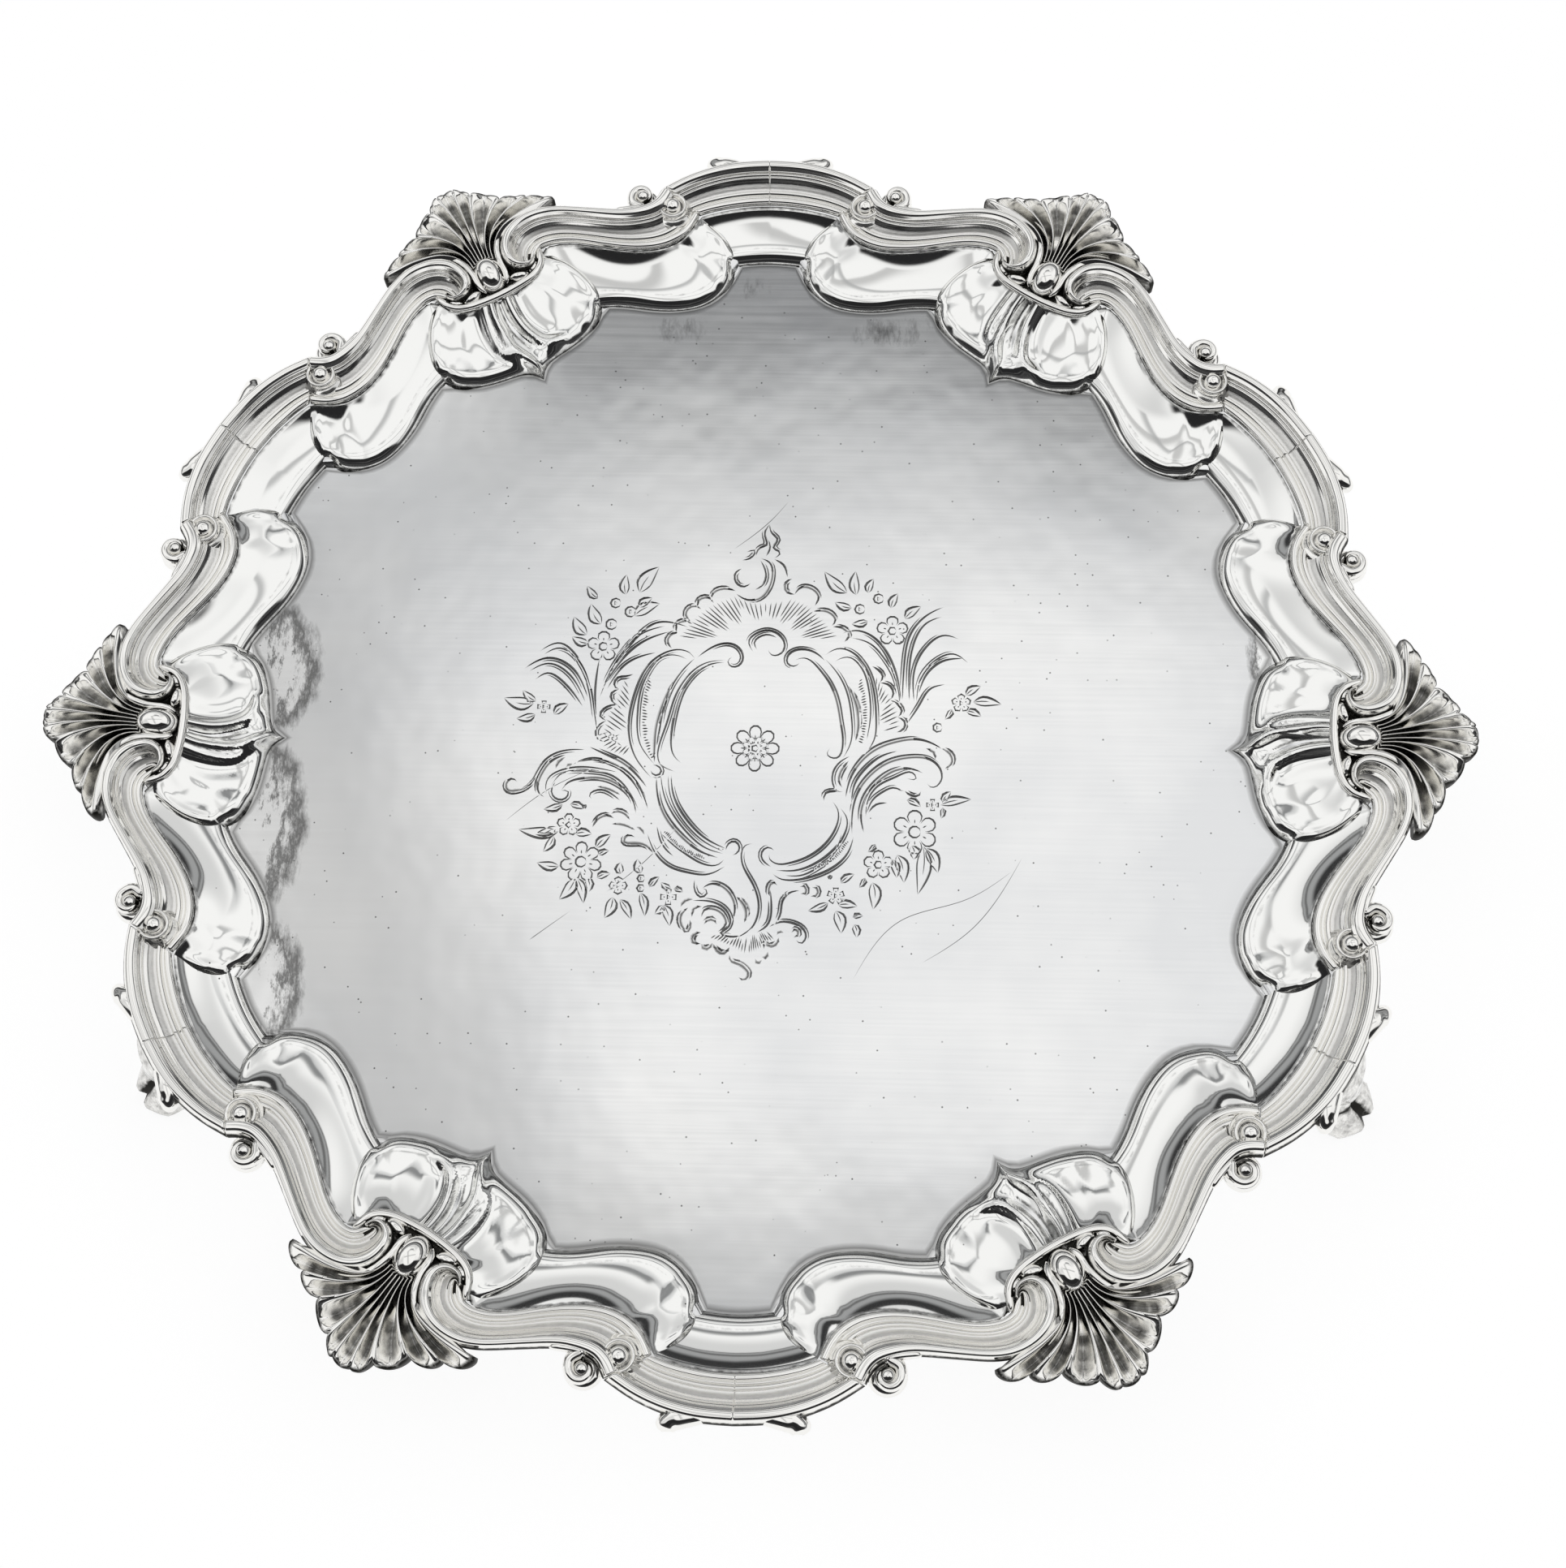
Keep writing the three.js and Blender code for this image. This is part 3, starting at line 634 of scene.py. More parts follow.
# Engraved lines over the field, in cusp radii: (width in millimetres, points).
frameLines = [
    # left inner C and its volute
    (0.5, [(-0.055, 0.197), (-0.063, 0.19), (-0.06, 0.178), (-0.045, 0.175), (-0.032, 0.19), (-0.035, 0.21),
           (-0.05, 0.225), (-0.075, 0.228), (-0.105, 0.215), (-0.13, 0.195)]),
    (0.55, [(-0.07, 0.185), (-0.1, 0.18), (-0.135, 0.155), (-0.16, 0.115), (-0.172, 0.07), (-0.178, 0.02),
            (-0.17, -0.03), (-0.155, -0.045)]),
    (0.4, [(-0.07, 0.19), (-0.11, 0.183), (-0.15, 0.15), (-0.175, 0.1), (-0.19, 0.04), (-0.197, -0.05),
           (-0.165, -0.065)]),
    (0.4, [(-0.133, 0.195), (-0.16, 0.165), (-0.185, 0.12), (-0.2, 0.06), (-0.205, 0.0)]),
    (0.9, [(-0.18, 0.14), (-0.195, 0.1), (-0.208, 0.05), (-0.213, 0.0), (-0.212, -0.045)]),
    # left outer C
    (0.5, [(-0.133, 0.19), (-0.145, 0.205), (-0.17, 0.213), (-0.2, 0.205), (-0.235, 0.175), (-0.255, 0.13),
           (-0.268, 0.07), (-0.265, 0.0), (-0.245, -0.045), (-0.215, -0.08)]),
    (0.4, [(-0.15, 0.19), (-0.175, 0.2), (-0.205, 0.195), (-0.23, 0.165), (-0.247, 0.12), (-0.252, 0.06),
           (-0.245, 0.0), (-0.21, -0.05)]),
    (0.4, [(-0.215, -0.05), (-0.2, -0.055), (-0.197, -0.068), (-0.21, -0.073), (-0.219, -0.062)]),
    # left scallops
    (0.5, [(-0.265, 0.155), (-0.28, 0.15), (-0.3, 0.145), (-0.303, 0.125), (-0.294, 0.12)]),
    (0.5, [(-0.294, 0.12), (-0.31, 0.11), (-0.305, 0.09), (-0.293, 0.085)]),
    (0.5, [(-0.293, 0.085), (-0.32, 0.078), (-0.332, 0.06), (-0.318, 0.048)]),
    (0.45, [(-0.318, 0.048), (-0.338, 0.03), (-0.335, 0.008), (-0.32, 0.0)]),
    # right inner C and its volute
    (0.5, [(0.09, 0.185), (0.08, 0.178), (0.066, 0.182), (0.064, 0.2), (0.075, 0.212), (0.1, 0.217),
           (0.13, 0.205), (0.145, 0.19)]),
    (0.55, [(0.08, 0.192), (0.1, 0.197), (0.13, 0.175), (0.155, 0.14), (0.172, 0.095), (0.18, 0.05),
            (0.185, 0.0), (0.17, -0.03), (0.152, -0.022), (0.16, -0.005)]),
    (0.4, [(0.145, 0.195), (0.17, 0.165), (0.192, 0.12), (0.203, 0.06), (0.2, 0.0), (0.185, -0.03)]),
    (0.9, [(0.195, 0.135), (0.21, 0.1), (0.218, 0.05), (0.212, 0.01)]),
    # right outer C
    (0.5, [(0.145, 0.205), (0.175, 0.22), (0.2, 0.213), (0.23, 0.18), (0.25, 0.12), (0.255, 0.06),
           (0.25, 0.01), (0.232, -0.02)]),
    (0.4, [(0.165, 0.19), (0.195, 0.2), (0.22, 0.18), (0.238, 0.13), (0.243, 0.07), (0.235, 0.01)]),
    (0.5, [(0.245, 0.18), (0.258, 0.172), (0.268, 0.158), (0.262, 0.142)]),
    (0.5, [(0.262, 0.142), (0.28, 0.138), (0.291, 0.118), (0.284, 0.103)]),
    (0.5, [(0.284, 0.103), (0.3, 0.094), (0.309, 0.078), (0.3, 0.064)]),
    (0.5, [(0.3, 0.064), (0.315, 0.055), (0.312, 0.037), (0.298, 0.03)]),
    # lower left frame
    (0.5, [(-0.175, -0.07), (-0.172, -0.1), (-0.158, -0.14), (-0.13, -0.18), (-0.095, -0.212),
           (-0.055, -0.232)]),
    (0.35, [(-0.181, -0.07), (-0.178, -0.105), (-0.163, -0.146), (-0.134, -0.187), (-0.098, -0.219),
            (-0.06, -0.238)]),
    (0.45, [(-0.055, -0.236), (-0.05, -0.222), (-0.037, -0.216), (-0.027, -0.226), (-0.03, -0.24),
            (-0.04, -0.246)]),
    (0.4, [(-0.197, -0.07), (-0.19, -0.11), (-0.17, -0.155), (-0.135, -0.2), (-0.095, -0.232),
           (-0.06, -0.243)]),
    (0.6, [(-0.206, -0.075), (-0.2, -0.125), (-0.18, -0.17), (-0.145, -0.21), (-0.105, -0.24),
           (-0.07, -0.252)]),
    (0.4, [(-0.192, -0.2), (-0.165, -0.225), (-0.13, -0.25), (-0.1, -0.266), (-0.068, -0.266),
           (-0.058, -0.256)]),
    (0.45, [(-0.22, -0.2), (-0.2, -0.245), (-0.165, -0.275), (-0.13, -0.285), (-0.09, -0.288),
            (-0.055, -0.27)]),
    (0.4, [(-0.2, -0.185), (-0.192, -0.215), (-0.175, -0.24), (-0.163, -0.25)]),
    # lower right frame
    (0.4, [(0.2, -0.025), (0.18, -0.038), (0.166, -0.06), (0.165, -0.085), (0.175, -0.102),
           (0.187, -0.104)]),
    (0.6, [(0.198, -0.035), (0.184, -0.055), (0.178, -0.08), (0.185, -0.095)]),
    (0.5, [(0.147, -0.125), (0.15, -0.108), (0.165, -0.103), (0.187, -0.104)]),
    (0.5, [(0.165, -0.125), (0.177, -0.145), (0.177, -0.17), (0.165, -0.2), (0.14, -0.23), (0.11, -0.25),
           (0.075, -0.262), (0.048, -0.262), (0.035, -0.248), (0.038, -0.24)]),
    (0.4, [(0.04, -0.27), (0.02, -0.25), (0.022, -0.235), (0.035, -0.228), (0.046, -0.235)]),
    (0.5, [(0.182, -0.14), (0.195, -0.16), (0.19, -0.2), (0.165, -0.235), (0.13, -0.262), (0.09, -0.277),
           (0.05, -0.277)]),
    (0.4, [(0.185, -0.195), (0.17, -0.24), (0.14, -0.268), (0.1, -0.288), (0.07, -0.288)]),
    (0.5, [(0.21, -0.2), (0.2, -0.235), (0.17, -0.268), (0.13, -0.288), (0.085, -0.298), (0.05, -0.29),
           (0.045, -0.285)]),
]
acanthusLines = [
    (0.55, [(-0.22, -0.15), (-0.235, -0.11), (-0.27, -0.065), (-0.31, -0.043), (-0.35, -0.037),
            (-0.385, -0.052)]),
    (0.4, [(-0.225, -0.125), (-0.25, -0.083), (-0.29, -0.052), (-0.34, -0.04), (-0.38, -0.048)]),
    (0.6, [(-0.245, -0.16), (-0.255, -0.125), (-0.285, -0.095), (-0.32, -0.081), (-0.36, -0.082),
           (-0.395, -0.095), (-0.405, -0.11)]),
    (0.4, [(-0.405, -0.11), (-0.39, -0.112), (-0.393, -0.125), (-0.41, -0.13), (-0.425, -0.115),
           (-0.418, -0.09)]),
    (0.4, [(-0.24, -0.15), (-0.262, -0.11), (-0.3, -0.075), (-0.35, -0.066), (-0.41, -0.075),
           (-0.427, -0.1)]),
    (0.35, [(-0.29, -0.067), (-0.34, -0.058), (-0.4, -0.062), (-0.435, -0.085), (-0.436, -0.12)]),
    (0.6, [(-0.44, -0.125), (-0.452, -0.115), (-0.455, -0.095), (-0.447, -0.07), (-0.43, -0.045),
           (-0.4, -0.03)]),
    (0.4, [(-0.36, -0.018), (-0.4, -0.02), (-0.435, -0.035), (-0.455, -0.06), (-0.47, -0.09),
           (-0.49, -0.108)]),
    (0.7, [(-0.46, -0.08), (-0.475, -0.1), (-0.495, -0.11), (-0.52, -0.108), (-0.521, -0.093),
           (-0.51, -0.085), (-0.499, -0.092)]),
    (0.8, [(-0.42, -0.062), (-0.415, -0.047), (-0.4, -0.035)]),
    (0.7, [(-0.392, -0.06), (-0.387, -0.047), (-0.4, -0.06)]),
    (0.55, [(-0.35, -0.012), (-0.31, -0.03), (-0.28, -0.045), (-0.25, -0.07), (-0.225, -0.1)]),
    (0.6, [(-0.28, -0.118), (-0.31, -0.103), (-0.33, -0.1)]),
    (0.4, [(-0.28, -0.13), (-0.3, -0.115), (-0.33, -0.108), (-0.345, -0.12), (-0.34, -0.128)]),
    (0.6, [(-0.335, -0.19), (-0.325, -0.172), (-0.305, -0.163), (-0.29, -0.17)]),
    (0.6, [(-0.245, -0.195), (-0.27, -0.183), (-0.295, -0.182)]),
    (0.6, [(-0.297, -0.16), (-0.29, -0.155), (-0.27, -0.158), (-0.257, -0.173)]),
    (0.7, [(-0.205, -0.245), (-0.22, -0.228), (-0.245, -0.223), (-0.268, -0.218), (-0.262, -0.207),
           (-0.245, -0.21)]),
    (0.6, [(-0.245, -0.187), (-0.235, -0.19), (-0.225, -0.205)]),
    (0.65, [(0.192, -0.12), (0.2, -0.08), (0.225, -0.035), (0.26, -0.005), (0.3, 0.01), (0.345, 0.015),
            (0.385, 0.0), (0.4, -0.01)]),
    (0.5, [(0.205, -0.13), (0.21, -0.09), (0.235, -0.05), (0.27, -0.022), (0.3, -0.012)]),
    (0.6, [(0.207, -0.2), (0.207, -0.15), (0.218, -0.105), (0.245, -0.065), (0.28, -0.038), (0.33, -0.025),
           (0.37, -0.03), (0.39, -0.05), (0.387, -0.085), (0.37, -0.092), (0.362, -0.08)]),
    (0.7, [(0.232, -0.195), (0.225, -0.16), (0.232, -0.12), (0.255, -0.085), (0.285, -0.06), (0.32, -0.05),
           (0.355, -0.06)]),
    (0.4, [(0.235, -0.16), (0.24, -0.12), (0.26, -0.09), (0.3, -0.068), (0.335, -0.062), (0.34, -0.073),
           (0.32, -0.072)]),
    (0.4, [(0.237, -0.15), (0.25, -0.12), (0.275, -0.1), (0.3, -0.095), (0.31, -0.1), (0.3, -0.097)]),
    (0.4, [(0.24, -0.15), (0.255, -0.132), (0.28, -0.127)]),
    (0.7, [(0.39, -0.005), (0.41, -0.015), (0.415, -0.035), (0.4, -0.05)]),
    (0.6, [(0.36, -0.005), (0.378, -0.015), (0.38, -0.03)]),
    (0.5, [(0.315, -0.1), (0.33, -0.11), (0.345, -0.11), (0.35, -0.1)]),
]
frondLines = [
    (0.5, [(-0.335, 0.02), (-0.343, 0.06), (-0.35, 0.1), (-0.38, 0.18), (-0.43, 0.225), (-0.47, 0.205)]),
    (0.5, [(-0.36, 0.1), (-0.4, 0.17), (-0.45, 0.19), (-0.5, 0.165)]),
    (0.45, [(-0.37, 0.08), (-0.42, 0.14), (-0.45, 0.155), (-0.475, 0.14)]),
    (0.4, [(-0.355, 0.12), (-0.385, 0.185), (-0.43, 0.213), (-0.46, 0.198)]),
    (0.4, [(-0.365, 0.09), (-0.405, 0.155), (-0.45, 0.177), (-0.49, 0.158)]),
    (0.5, [(-0.335, 0.1), (-0.31, 0.17), (-0.27, 0.23), (-0.22, 0.275), (-0.15, 0.265)]),
    (0.5, [(-0.33, 0.12), (-0.29, 0.19), (-0.24, 0.235), (-0.19, 0.255)]),
    (0.45, [(-0.32, 0.12), (-0.28, 0.18), (-0.24, 0.2), (-0.22, 0.205)]),
    (0.45, [(-0.34, 0.05), (-0.345, 0.12), (-0.34, 0.19)]),
    (0.4, [(-0.325, 0.14), (-0.295, 0.2), (-0.25, 0.25), (-0.2, 0.268)]),
    (0.5, [(0.307, 0.1), (0.302, 0.14), (0.285, 0.195), (0.25, 0.245), (0.21, 0.262), (0.18, 0.255)]),
    (0.5, [(0.31, 0.1), (0.315, 0.2), (0.325, 0.25), (0.37, 0.305), (0.4, 0.32)]),
    (0.5, [(0.325, 0.1), (0.325, 0.18), (0.34, 0.25), (0.36, 0.28), (0.395, 0.297)]),
    (0.5, [(0.335, 0.1), (0.335, 0.17), (0.36, 0.225), (0.4, 0.253), (0.43, 0.245)]),
    (0.5, [(0.345, 0.12), (0.36, 0.16), (0.4, 0.195), (0.44, 0.2)]),
    (0.45, [(0.32, 0.05), (0.35, 0.1), (0.37, 0.13), (0.4, 0.14)]),
    (0.4, [(0.34, 0.1), (0.348, 0.15), (0.375, 0.19), (0.42, 0.21), (0.45, 0.19)]),
    (0.4, [(0.305, 0.09), (0.296, 0.15), (0.27, 0.2), (0.235, 0.235), (0.2, 0.245)]),
]
shellworkLines = [
    (0.6, [(-0.185, 0.215), (-0.195, 0.235), (-0.185, 0.25), (-0.168, 0.252)]),
    (0.6, [(-0.175, 0.252), (-0.178, 0.268), (-0.16, 0.28), (-0.142, 0.272)]),
    (0.6, [(-0.145, 0.275), (-0.158, 0.3), (-0.145, 0.315), (-0.125, 0.308)]),
    (0.6, [(-0.132, 0.31), (-0.132, 0.328), (-0.113, 0.336), (-0.098, 0.322)]),
    (0.6, [(-0.105, 0.33), (-0.1, 0.347), (-0.08, 0.357), (-0.052, 0.352)]),
    (0.6, [(0.07, 0.382), (0.058, 0.375), (0.058, 0.352), (0.076, 0.345)]),
    (0.6, [(0.076, 0.345), (0.09, 0.362), (0.112, 0.36), (0.128, 0.34), (0.12, 0.318)]),
    (0.6, [(0.116, 0.305), (0.135, 0.308), (0.155, 0.302), (0.165, 0.285), (0.158, 0.272)]),
    (0.6, [(0.16, 0.27), (0.18, 0.268), (0.195, 0.25), (0.185, 0.235)]),
    (0.5, [(-0.01, 0.21), (-0.02, 0.235), (0.0, 0.255), (0.02, 0.26), (0.045, 0.25), (0.057, 0.23),
           (0.05, 0.207), (0.03, 0.203), (0.022, 0.215)]),
    (0.4, [(-0.002, 0.215), (-0.008, 0.232), (0.005, 0.246), (0.022, 0.25), (0.04, 0.243)]),
    (0.6, [(0.0, 0.43), (0.02, 0.42), (0.027, 0.39), (0.02, 0.36), (0.0, 0.335), (-0.03, 0.332),
           (-0.05, 0.345)]),
    (0.45, [(0.0, 0.425), (0.013, 0.39), (0.005, 0.365), (-0.01, 0.355)]),
    (0.45, [(0.03, 0.428), (0.05, 0.415), (0.06, 0.385)]),
    (0.5, [(-0.04, 0.405), (-0.053, 0.395), (-0.05, 0.37), (-0.035, 0.362), (-0.02, 0.37)]),
    (0.5, [(-0.01, 0.435), (-0.002, 0.455), (0.012, 0.462), (0.008, 0.485), (0.018, 0.512)]),
    (0.5, [(0.018, 0.512), (0.024, 0.49), (0.036, 0.475), (0.028, 0.455), (0.042, 0.445), (0.03, 0.43)]),
    (0.4, [(0.012, 0.435), (0.02, 0.455), (0.016, 0.475)]),
    (0.4, [(-0.04, 0.425), (-0.02, 0.432), (-0.012, 0.448), (-0.03, 0.445)]),
]
baseLines = [
    (0.5, [(0.0, -0.22), (-0.015, -0.225), (-0.022, -0.245), (-0.015, -0.275), (0.005, -0.31),
           (0.016, -0.345), (0.014, -0.38), (0.0, -0.405), (-0.025, -0.42)]),
    (0.9, [(-0.03, -0.335), (-0.015, -0.35), (-0.008, -0.37), (-0.012, -0.39)]),
    (0.6, [(-0.1, -0.318), (-0.085, -0.309), (-0.06, -0.313), (-0.042, -0.33), (-0.032, -0.36),
           (-0.037, -0.39)]),
    (0.4, [(-0.117, -0.3), (-0.115, -0.325), (-0.1, -0.337), (-0.09, -0.325), (-0.1, -0.318)]),
    (0.6, [(-0.1, -0.38), (-0.095, -0.365), (-0.075, -0.362), (-0.055, -0.375), (-0.05, -0.395),
           (-0.065, -0.41)]),
    (0.5, [(-0.12, -0.345), (-0.09, -0.345), (-0.06, -0.355), (-0.042, -0.378), (-0.045, -0.4),
           (-0.06, -0.413), (-0.03, -0.42), (0.0, -0.405)]),
    (0.7, [(-0.145, -0.36), (-0.135, -0.345), (-0.118, -0.342)]),
    (0.6, [(-0.12, -0.38), (-0.115, -0.36), (-0.1, -0.357)]),
    (0.7, [(-0.13, -0.41), (-0.142, -0.395), (-0.142, -0.375), (-0.128, -0.36)]),
    (0.6, [(-0.14, -0.405), (-0.13, -0.412), (-0.122, -0.4), (-0.124, -0.385)]),
    (0.8, [(-0.1, -0.412), (-0.116, -0.418), (-0.116, -0.432), (-0.1, -0.436)]),
    (0.8, [(-0.1, -0.436), (-0.092, -0.446), (-0.078, -0.44), (-0.075, -0.433)]),
    (0.8, [(-0.075, -0.435), (-0.066, -0.45), (-0.05, -0.455), (-0.04, -0.442)]),
    (0.8, [(-0.04, -0.458), (-0.038, -0.47), (-0.022, -0.476), (-0.008, -0.485), (0.0, -0.498),
           (-0.01, -0.51), (-0.02, -0.505)]),
    (0.6, [(-0.095, -0.395), (-0.09, -0.388), (-0.075, -0.385), (-0.068, -0.395)]),
    (0.5, [(0.015, -0.41), (0.035, -0.395), (0.043, -0.36), (0.04, -0.32)]),
    (0.6, [(0.04, -0.335), (0.037, -0.315), (0.045, -0.303), (0.055, -0.31)]),
    (0.5, [(0.05, -0.395), (0.062, -0.37), (0.065, -0.345), (0.08, -0.325), (0.1, -0.32)]),
    (0.6, [(0.062, -0.34), (0.067, -0.33), (0.08, -0.332)]),
    (0.5, [(0.04, -0.398), (0.06, -0.388), (0.09, -0.39), (0.11, -0.402), (0.115, -0.42), (0.105, -0.432),
           (0.095, -0.425)]),
    (0.6, [(0.055, -0.415), (0.06, -0.408), (0.07, -0.41)]),
    (0.6, [(0.085, -0.41), (0.095, -0.402), (0.1, -0.412), (0.09, -0.42)]),
    (0.8, [(0.03, -0.445), (0.03, -0.435), (0.045, -0.438), (0.058, -0.43), (0.06, -0.42)]),
    (0.8, [(0.025, -0.462), (0.035, -0.462), (0.038, -0.45)]),
    (0.7, [(0.012, -0.465), (0.018, -0.475), (0.027, -0.468)]),
    (0.6, [(0.1, -0.312), (0.11, -0.31), (0.113, -0.325), (0.102, -0.327)]),
    (0.6, [(0.125, -0.312), (0.137, -0.315), (0.135, -0.33), (0.123, -0.332)]),
]
flowers = [  # centre, radius, petals
    ((-0.333, 0.218), 0.034, 5), ((-0.385, -0.185), 0.024, 5), ((-0.355, -0.265), 0.042, 7),
    ((-0.275, -0.315), 0.018, 4), ((-0.17, -0.338), 0.017, 4), ((0.288, 0.262), 0.033, 5),
    ((0.435, 0.098), 0.02, 5), ((0.374, -0.13), 0.013, 4), ((0.337, -0.19), 0.046, 6),
    ((0.262, -0.262), 0.03, 5), ((0.175, -0.33), 0.018, 5), ((-0.453, 0.078), 0.014, 4),
]
buds = [
    ((-0.318, 0.27), 0.012), ((-0.311, 0.32), 0.011), ((-0.278, 0.3), 0.012), ((-0.228, -0.299), 0.008),
    ((-0.228, -0.32), 0.008), ((0.218, 0.312), 0.011), ((0.258, 0.337), 0.011), ((0.385, 0.042), 0.01),
]
leaves = [  # stem end, tip, width as a share of the length
    ((-0.37, 0.245), (-0.4, 0.287), 0.34), ((-0.365, 0.225), (-0.402, 0.24), 0.34),
    ((-0.34, 0.27), (-0.365, 0.318), 0.34), ((-0.29, 0.34), (-0.29, 0.388), 0.3),
    ((-0.26, 0.345), (-0.22, 0.407), 0.3), ((-0.26, 0.31), (-0.232, 0.333), 0.36),
    ((-0.27, 0.29), (-0.215, 0.32), 0.3), ((-0.475, 0.085), (-0.54, 0.097), 0.3),
    ((-0.47, 0.09), (-0.5, 0.115), 0.3), ((-0.43, 0.06), (-0.4, 0.085), 0.34),
    ((-0.47, 0.06), (-0.51, 0.05), 0.3), ((-0.35, 0.33), (-0.375, 0.36), 0.3),
    ((0.19, 0.35), (0.14, 0.4), 0.26), ((0.21, 0.345), (0.208, 0.402), 0.26),
    ((0.235, 0.35), (0.247, 0.384), 0.32), ((0.2, 0.315), (0.163, 0.328), 0.32),
    ((0.235, 0.285), (0.2, 0.277), 0.32), ((0.285, 0.315), (0.3, 0.35), 0.32),
    ((0.315, 0.29), (0.35, 0.32), 0.3), ((0.445, 0.115), (0.477, 0.137), 0.32),
    ((0.445, 0.08), (0.477, 0.068), 0.32), ((0.46, 0.1), (0.52, 0.096), 0.24),
    ((0.415, 0.085), (0.4, 0.06), 0.3), ((-0.405, -0.2), (-0.49, -0.197), 0.2),
    ((-0.41, -0.19), (-0.455, -0.207), 0.26), ((-0.415, -0.21), (-0.435, -0.245), 0.3),
    ((-0.37, -0.205), (-0.335, -0.205), 0.36), ((-0.4, -0.275), (-0.447, -0.268), 0.28),
    ((-0.325, -0.235), (-0.295, -0.205), 0.3), ((-0.365, -0.3), (-0.396, -0.347), 0.3),
    ((-0.362, -0.3), (-0.345, -0.355), 0.24), ((-0.34, -0.3), (-0.335, -0.33), 0.4),
    ((-0.32, -0.3), (-0.292, -0.29), 0.36), ((-0.32, -0.25), (-0.297, -0.24), 0.34),
    ((-0.27, -0.29), (-0.272, -0.265), 0.5), ((-0.285, -0.34), (-0.3, -0.385), 0.34),
    ((-0.27, -0.345), (-0.245, -0.387), 0.24), ((-0.228, -0.288), (-0.237, -0.257), 0.4),
    ((-0.228, -0.33), (-0.217, -0.38), 0.24), ((-0.21, -0.318), (-0.19, -0.295), 0.3),
    ((-0.18, -0.355), (-0.197, -0.375), 0.4), ((-0.18, -0.355), (-0.165, -0.4), 0.3),
    ((-0.165, -0.32), (-0.187, -0.307), 0.36), ((-0.16, -0.32), (-0.14, -0.327), 0.36),
    ((-0.355, -0.15), (-0.35, -0.14), 0.4), ((-0.4, -0.14), (-0.44, -0.152), 0.26),
    ((-0.385, -0.14), (-0.352, -0.15), 0.3), ((0.39, -0.13), (0.455, -0.117), 0.2),
    ((0.395, -0.125), (0.413, -0.1), 0.34), ((0.395, -0.135), (0.392, -0.16), 0.3),
    ((0.32, -0.12), (0.35, -0.135), 0.3), ((0.36, -0.225), (0.385, -0.278), 0.3),
    ((0.355, -0.22), (0.343, -0.325), 0.2), ((0.3, -0.24), (0.315, -0.3), 0.3),
    ((0.33, -0.22), (0.335, -0.25), 0.5), ((0.25, -0.3), (0.252, -0.358), 0.3),
    ((0.29, -0.25), (0.3, -0.29), 0.3), ((0.235, -0.29), (0.223, -0.312), 0.3),
    ((0.16, -0.345), (0.118, -0.363), 0.24), ((0.18, -0.35), (0.22, -0.352), 0.3),
    ((0.175, -0.362), (0.187, -0.41), 0.34), ((0.21, -0.375), (0.232, -0.372), 0.34),
    ((0.213, -0.39), (0.219, -0.418), 0.4), ((0.185, -0.303), (0.213, -0.283), 0.3),
    ((0.16, -0.295), (0.168, -0.287), 0.4), ((0.256, -0.217), (0.24, -0.235), 0.3),
]
# Short hatched lines: the curve they start on, the curve they run towards, and how many.
hatches = [
    ([(-0.17, 0.245), (-0.14, 0.285), (-0.1, 0.32), (-0.055, 0.34)],
     [(-0.1, 0.235), (-0.075, 0.25), (-0.05, 0.265), (-0.025, 0.28)], 16),
    ([(0.17, 0.25), (0.14, 0.285), (0.105, 0.32), (0.07, 0.335)],
     [(0.1, 0.235), (0.085, 0.25), (0.06, 0.265), (0.04, 0.28)], 15),
    ([(-0.045, 0.335), (0.0, 0.325), (0.05, 0.33)], [(-0.02, 0.285), (0.01, 0.28), (0.035, 0.285)], 9),
    ([(-0.285, 0.14), (-0.3, 0.1), (-0.315, 0.065), (-0.325, 0.02)],
     [(-0.265, 0.11), (-0.27, 0.07), (-0.272, 0.03), (-0.28, -0.01)], 13),
    ([(0.255, 0.155), (0.28, 0.12), (0.3, 0.08), (0.305, 0.045)],
     [(0.255, 0.12), (0.26, 0.09), (0.26, 0.06), (0.262, 0.03)], 12),
    ([(-0.235, 0.15), (-0.243, 0.1), (-0.243, 0.05), (-0.235, 0.0), (-0.22, -0.035)],
     [(-0.222, 0.14), (-0.228, 0.1), (-0.229, 0.05), (-0.222, 0.0), (-0.212, -0.03)], 28),
    ([(0.225, 0.15), (0.235, 0.1), (0.236, 0.05), (0.228, 0.005)],
     [(0.212, 0.14), (0.221, 0.1), (0.223, 0.05), (0.217, 0.01)], 24),
    ([(-0.08, -0.425), (-0.04, -0.44), (-0.01, -0.455)], [(-0.06, -0.41), (-0.03, -0.42), (-0.005, -0.412)],
     12),
    ([(0.0, -0.455), (0.03, -0.44), (0.05, -0.425)], [(0.0, -0.415), (0.015, -0.41), (0.03, -0.403)], 12),
    ([(-0.185, -0.2), (-0.15, -0.235), (-0.1, -0.256)], [(-0.178, -0.193), (-0.146, -0.225), (-0.1, -0.246)],
     26),
    ([(-0.34, 0.012), (-0.31, -0.02), (-0.28, -0.03)], [(-0.29, 0.03), (-0.28, 0.005), (-0.265, -0.01)], 9),
    ([(0.2, -0.215), (0.175, -0.25), (0.13, -0.276)], [(0.193, -0.21), (0.168, -0.243), (0.126, -0.268)], 22),
]
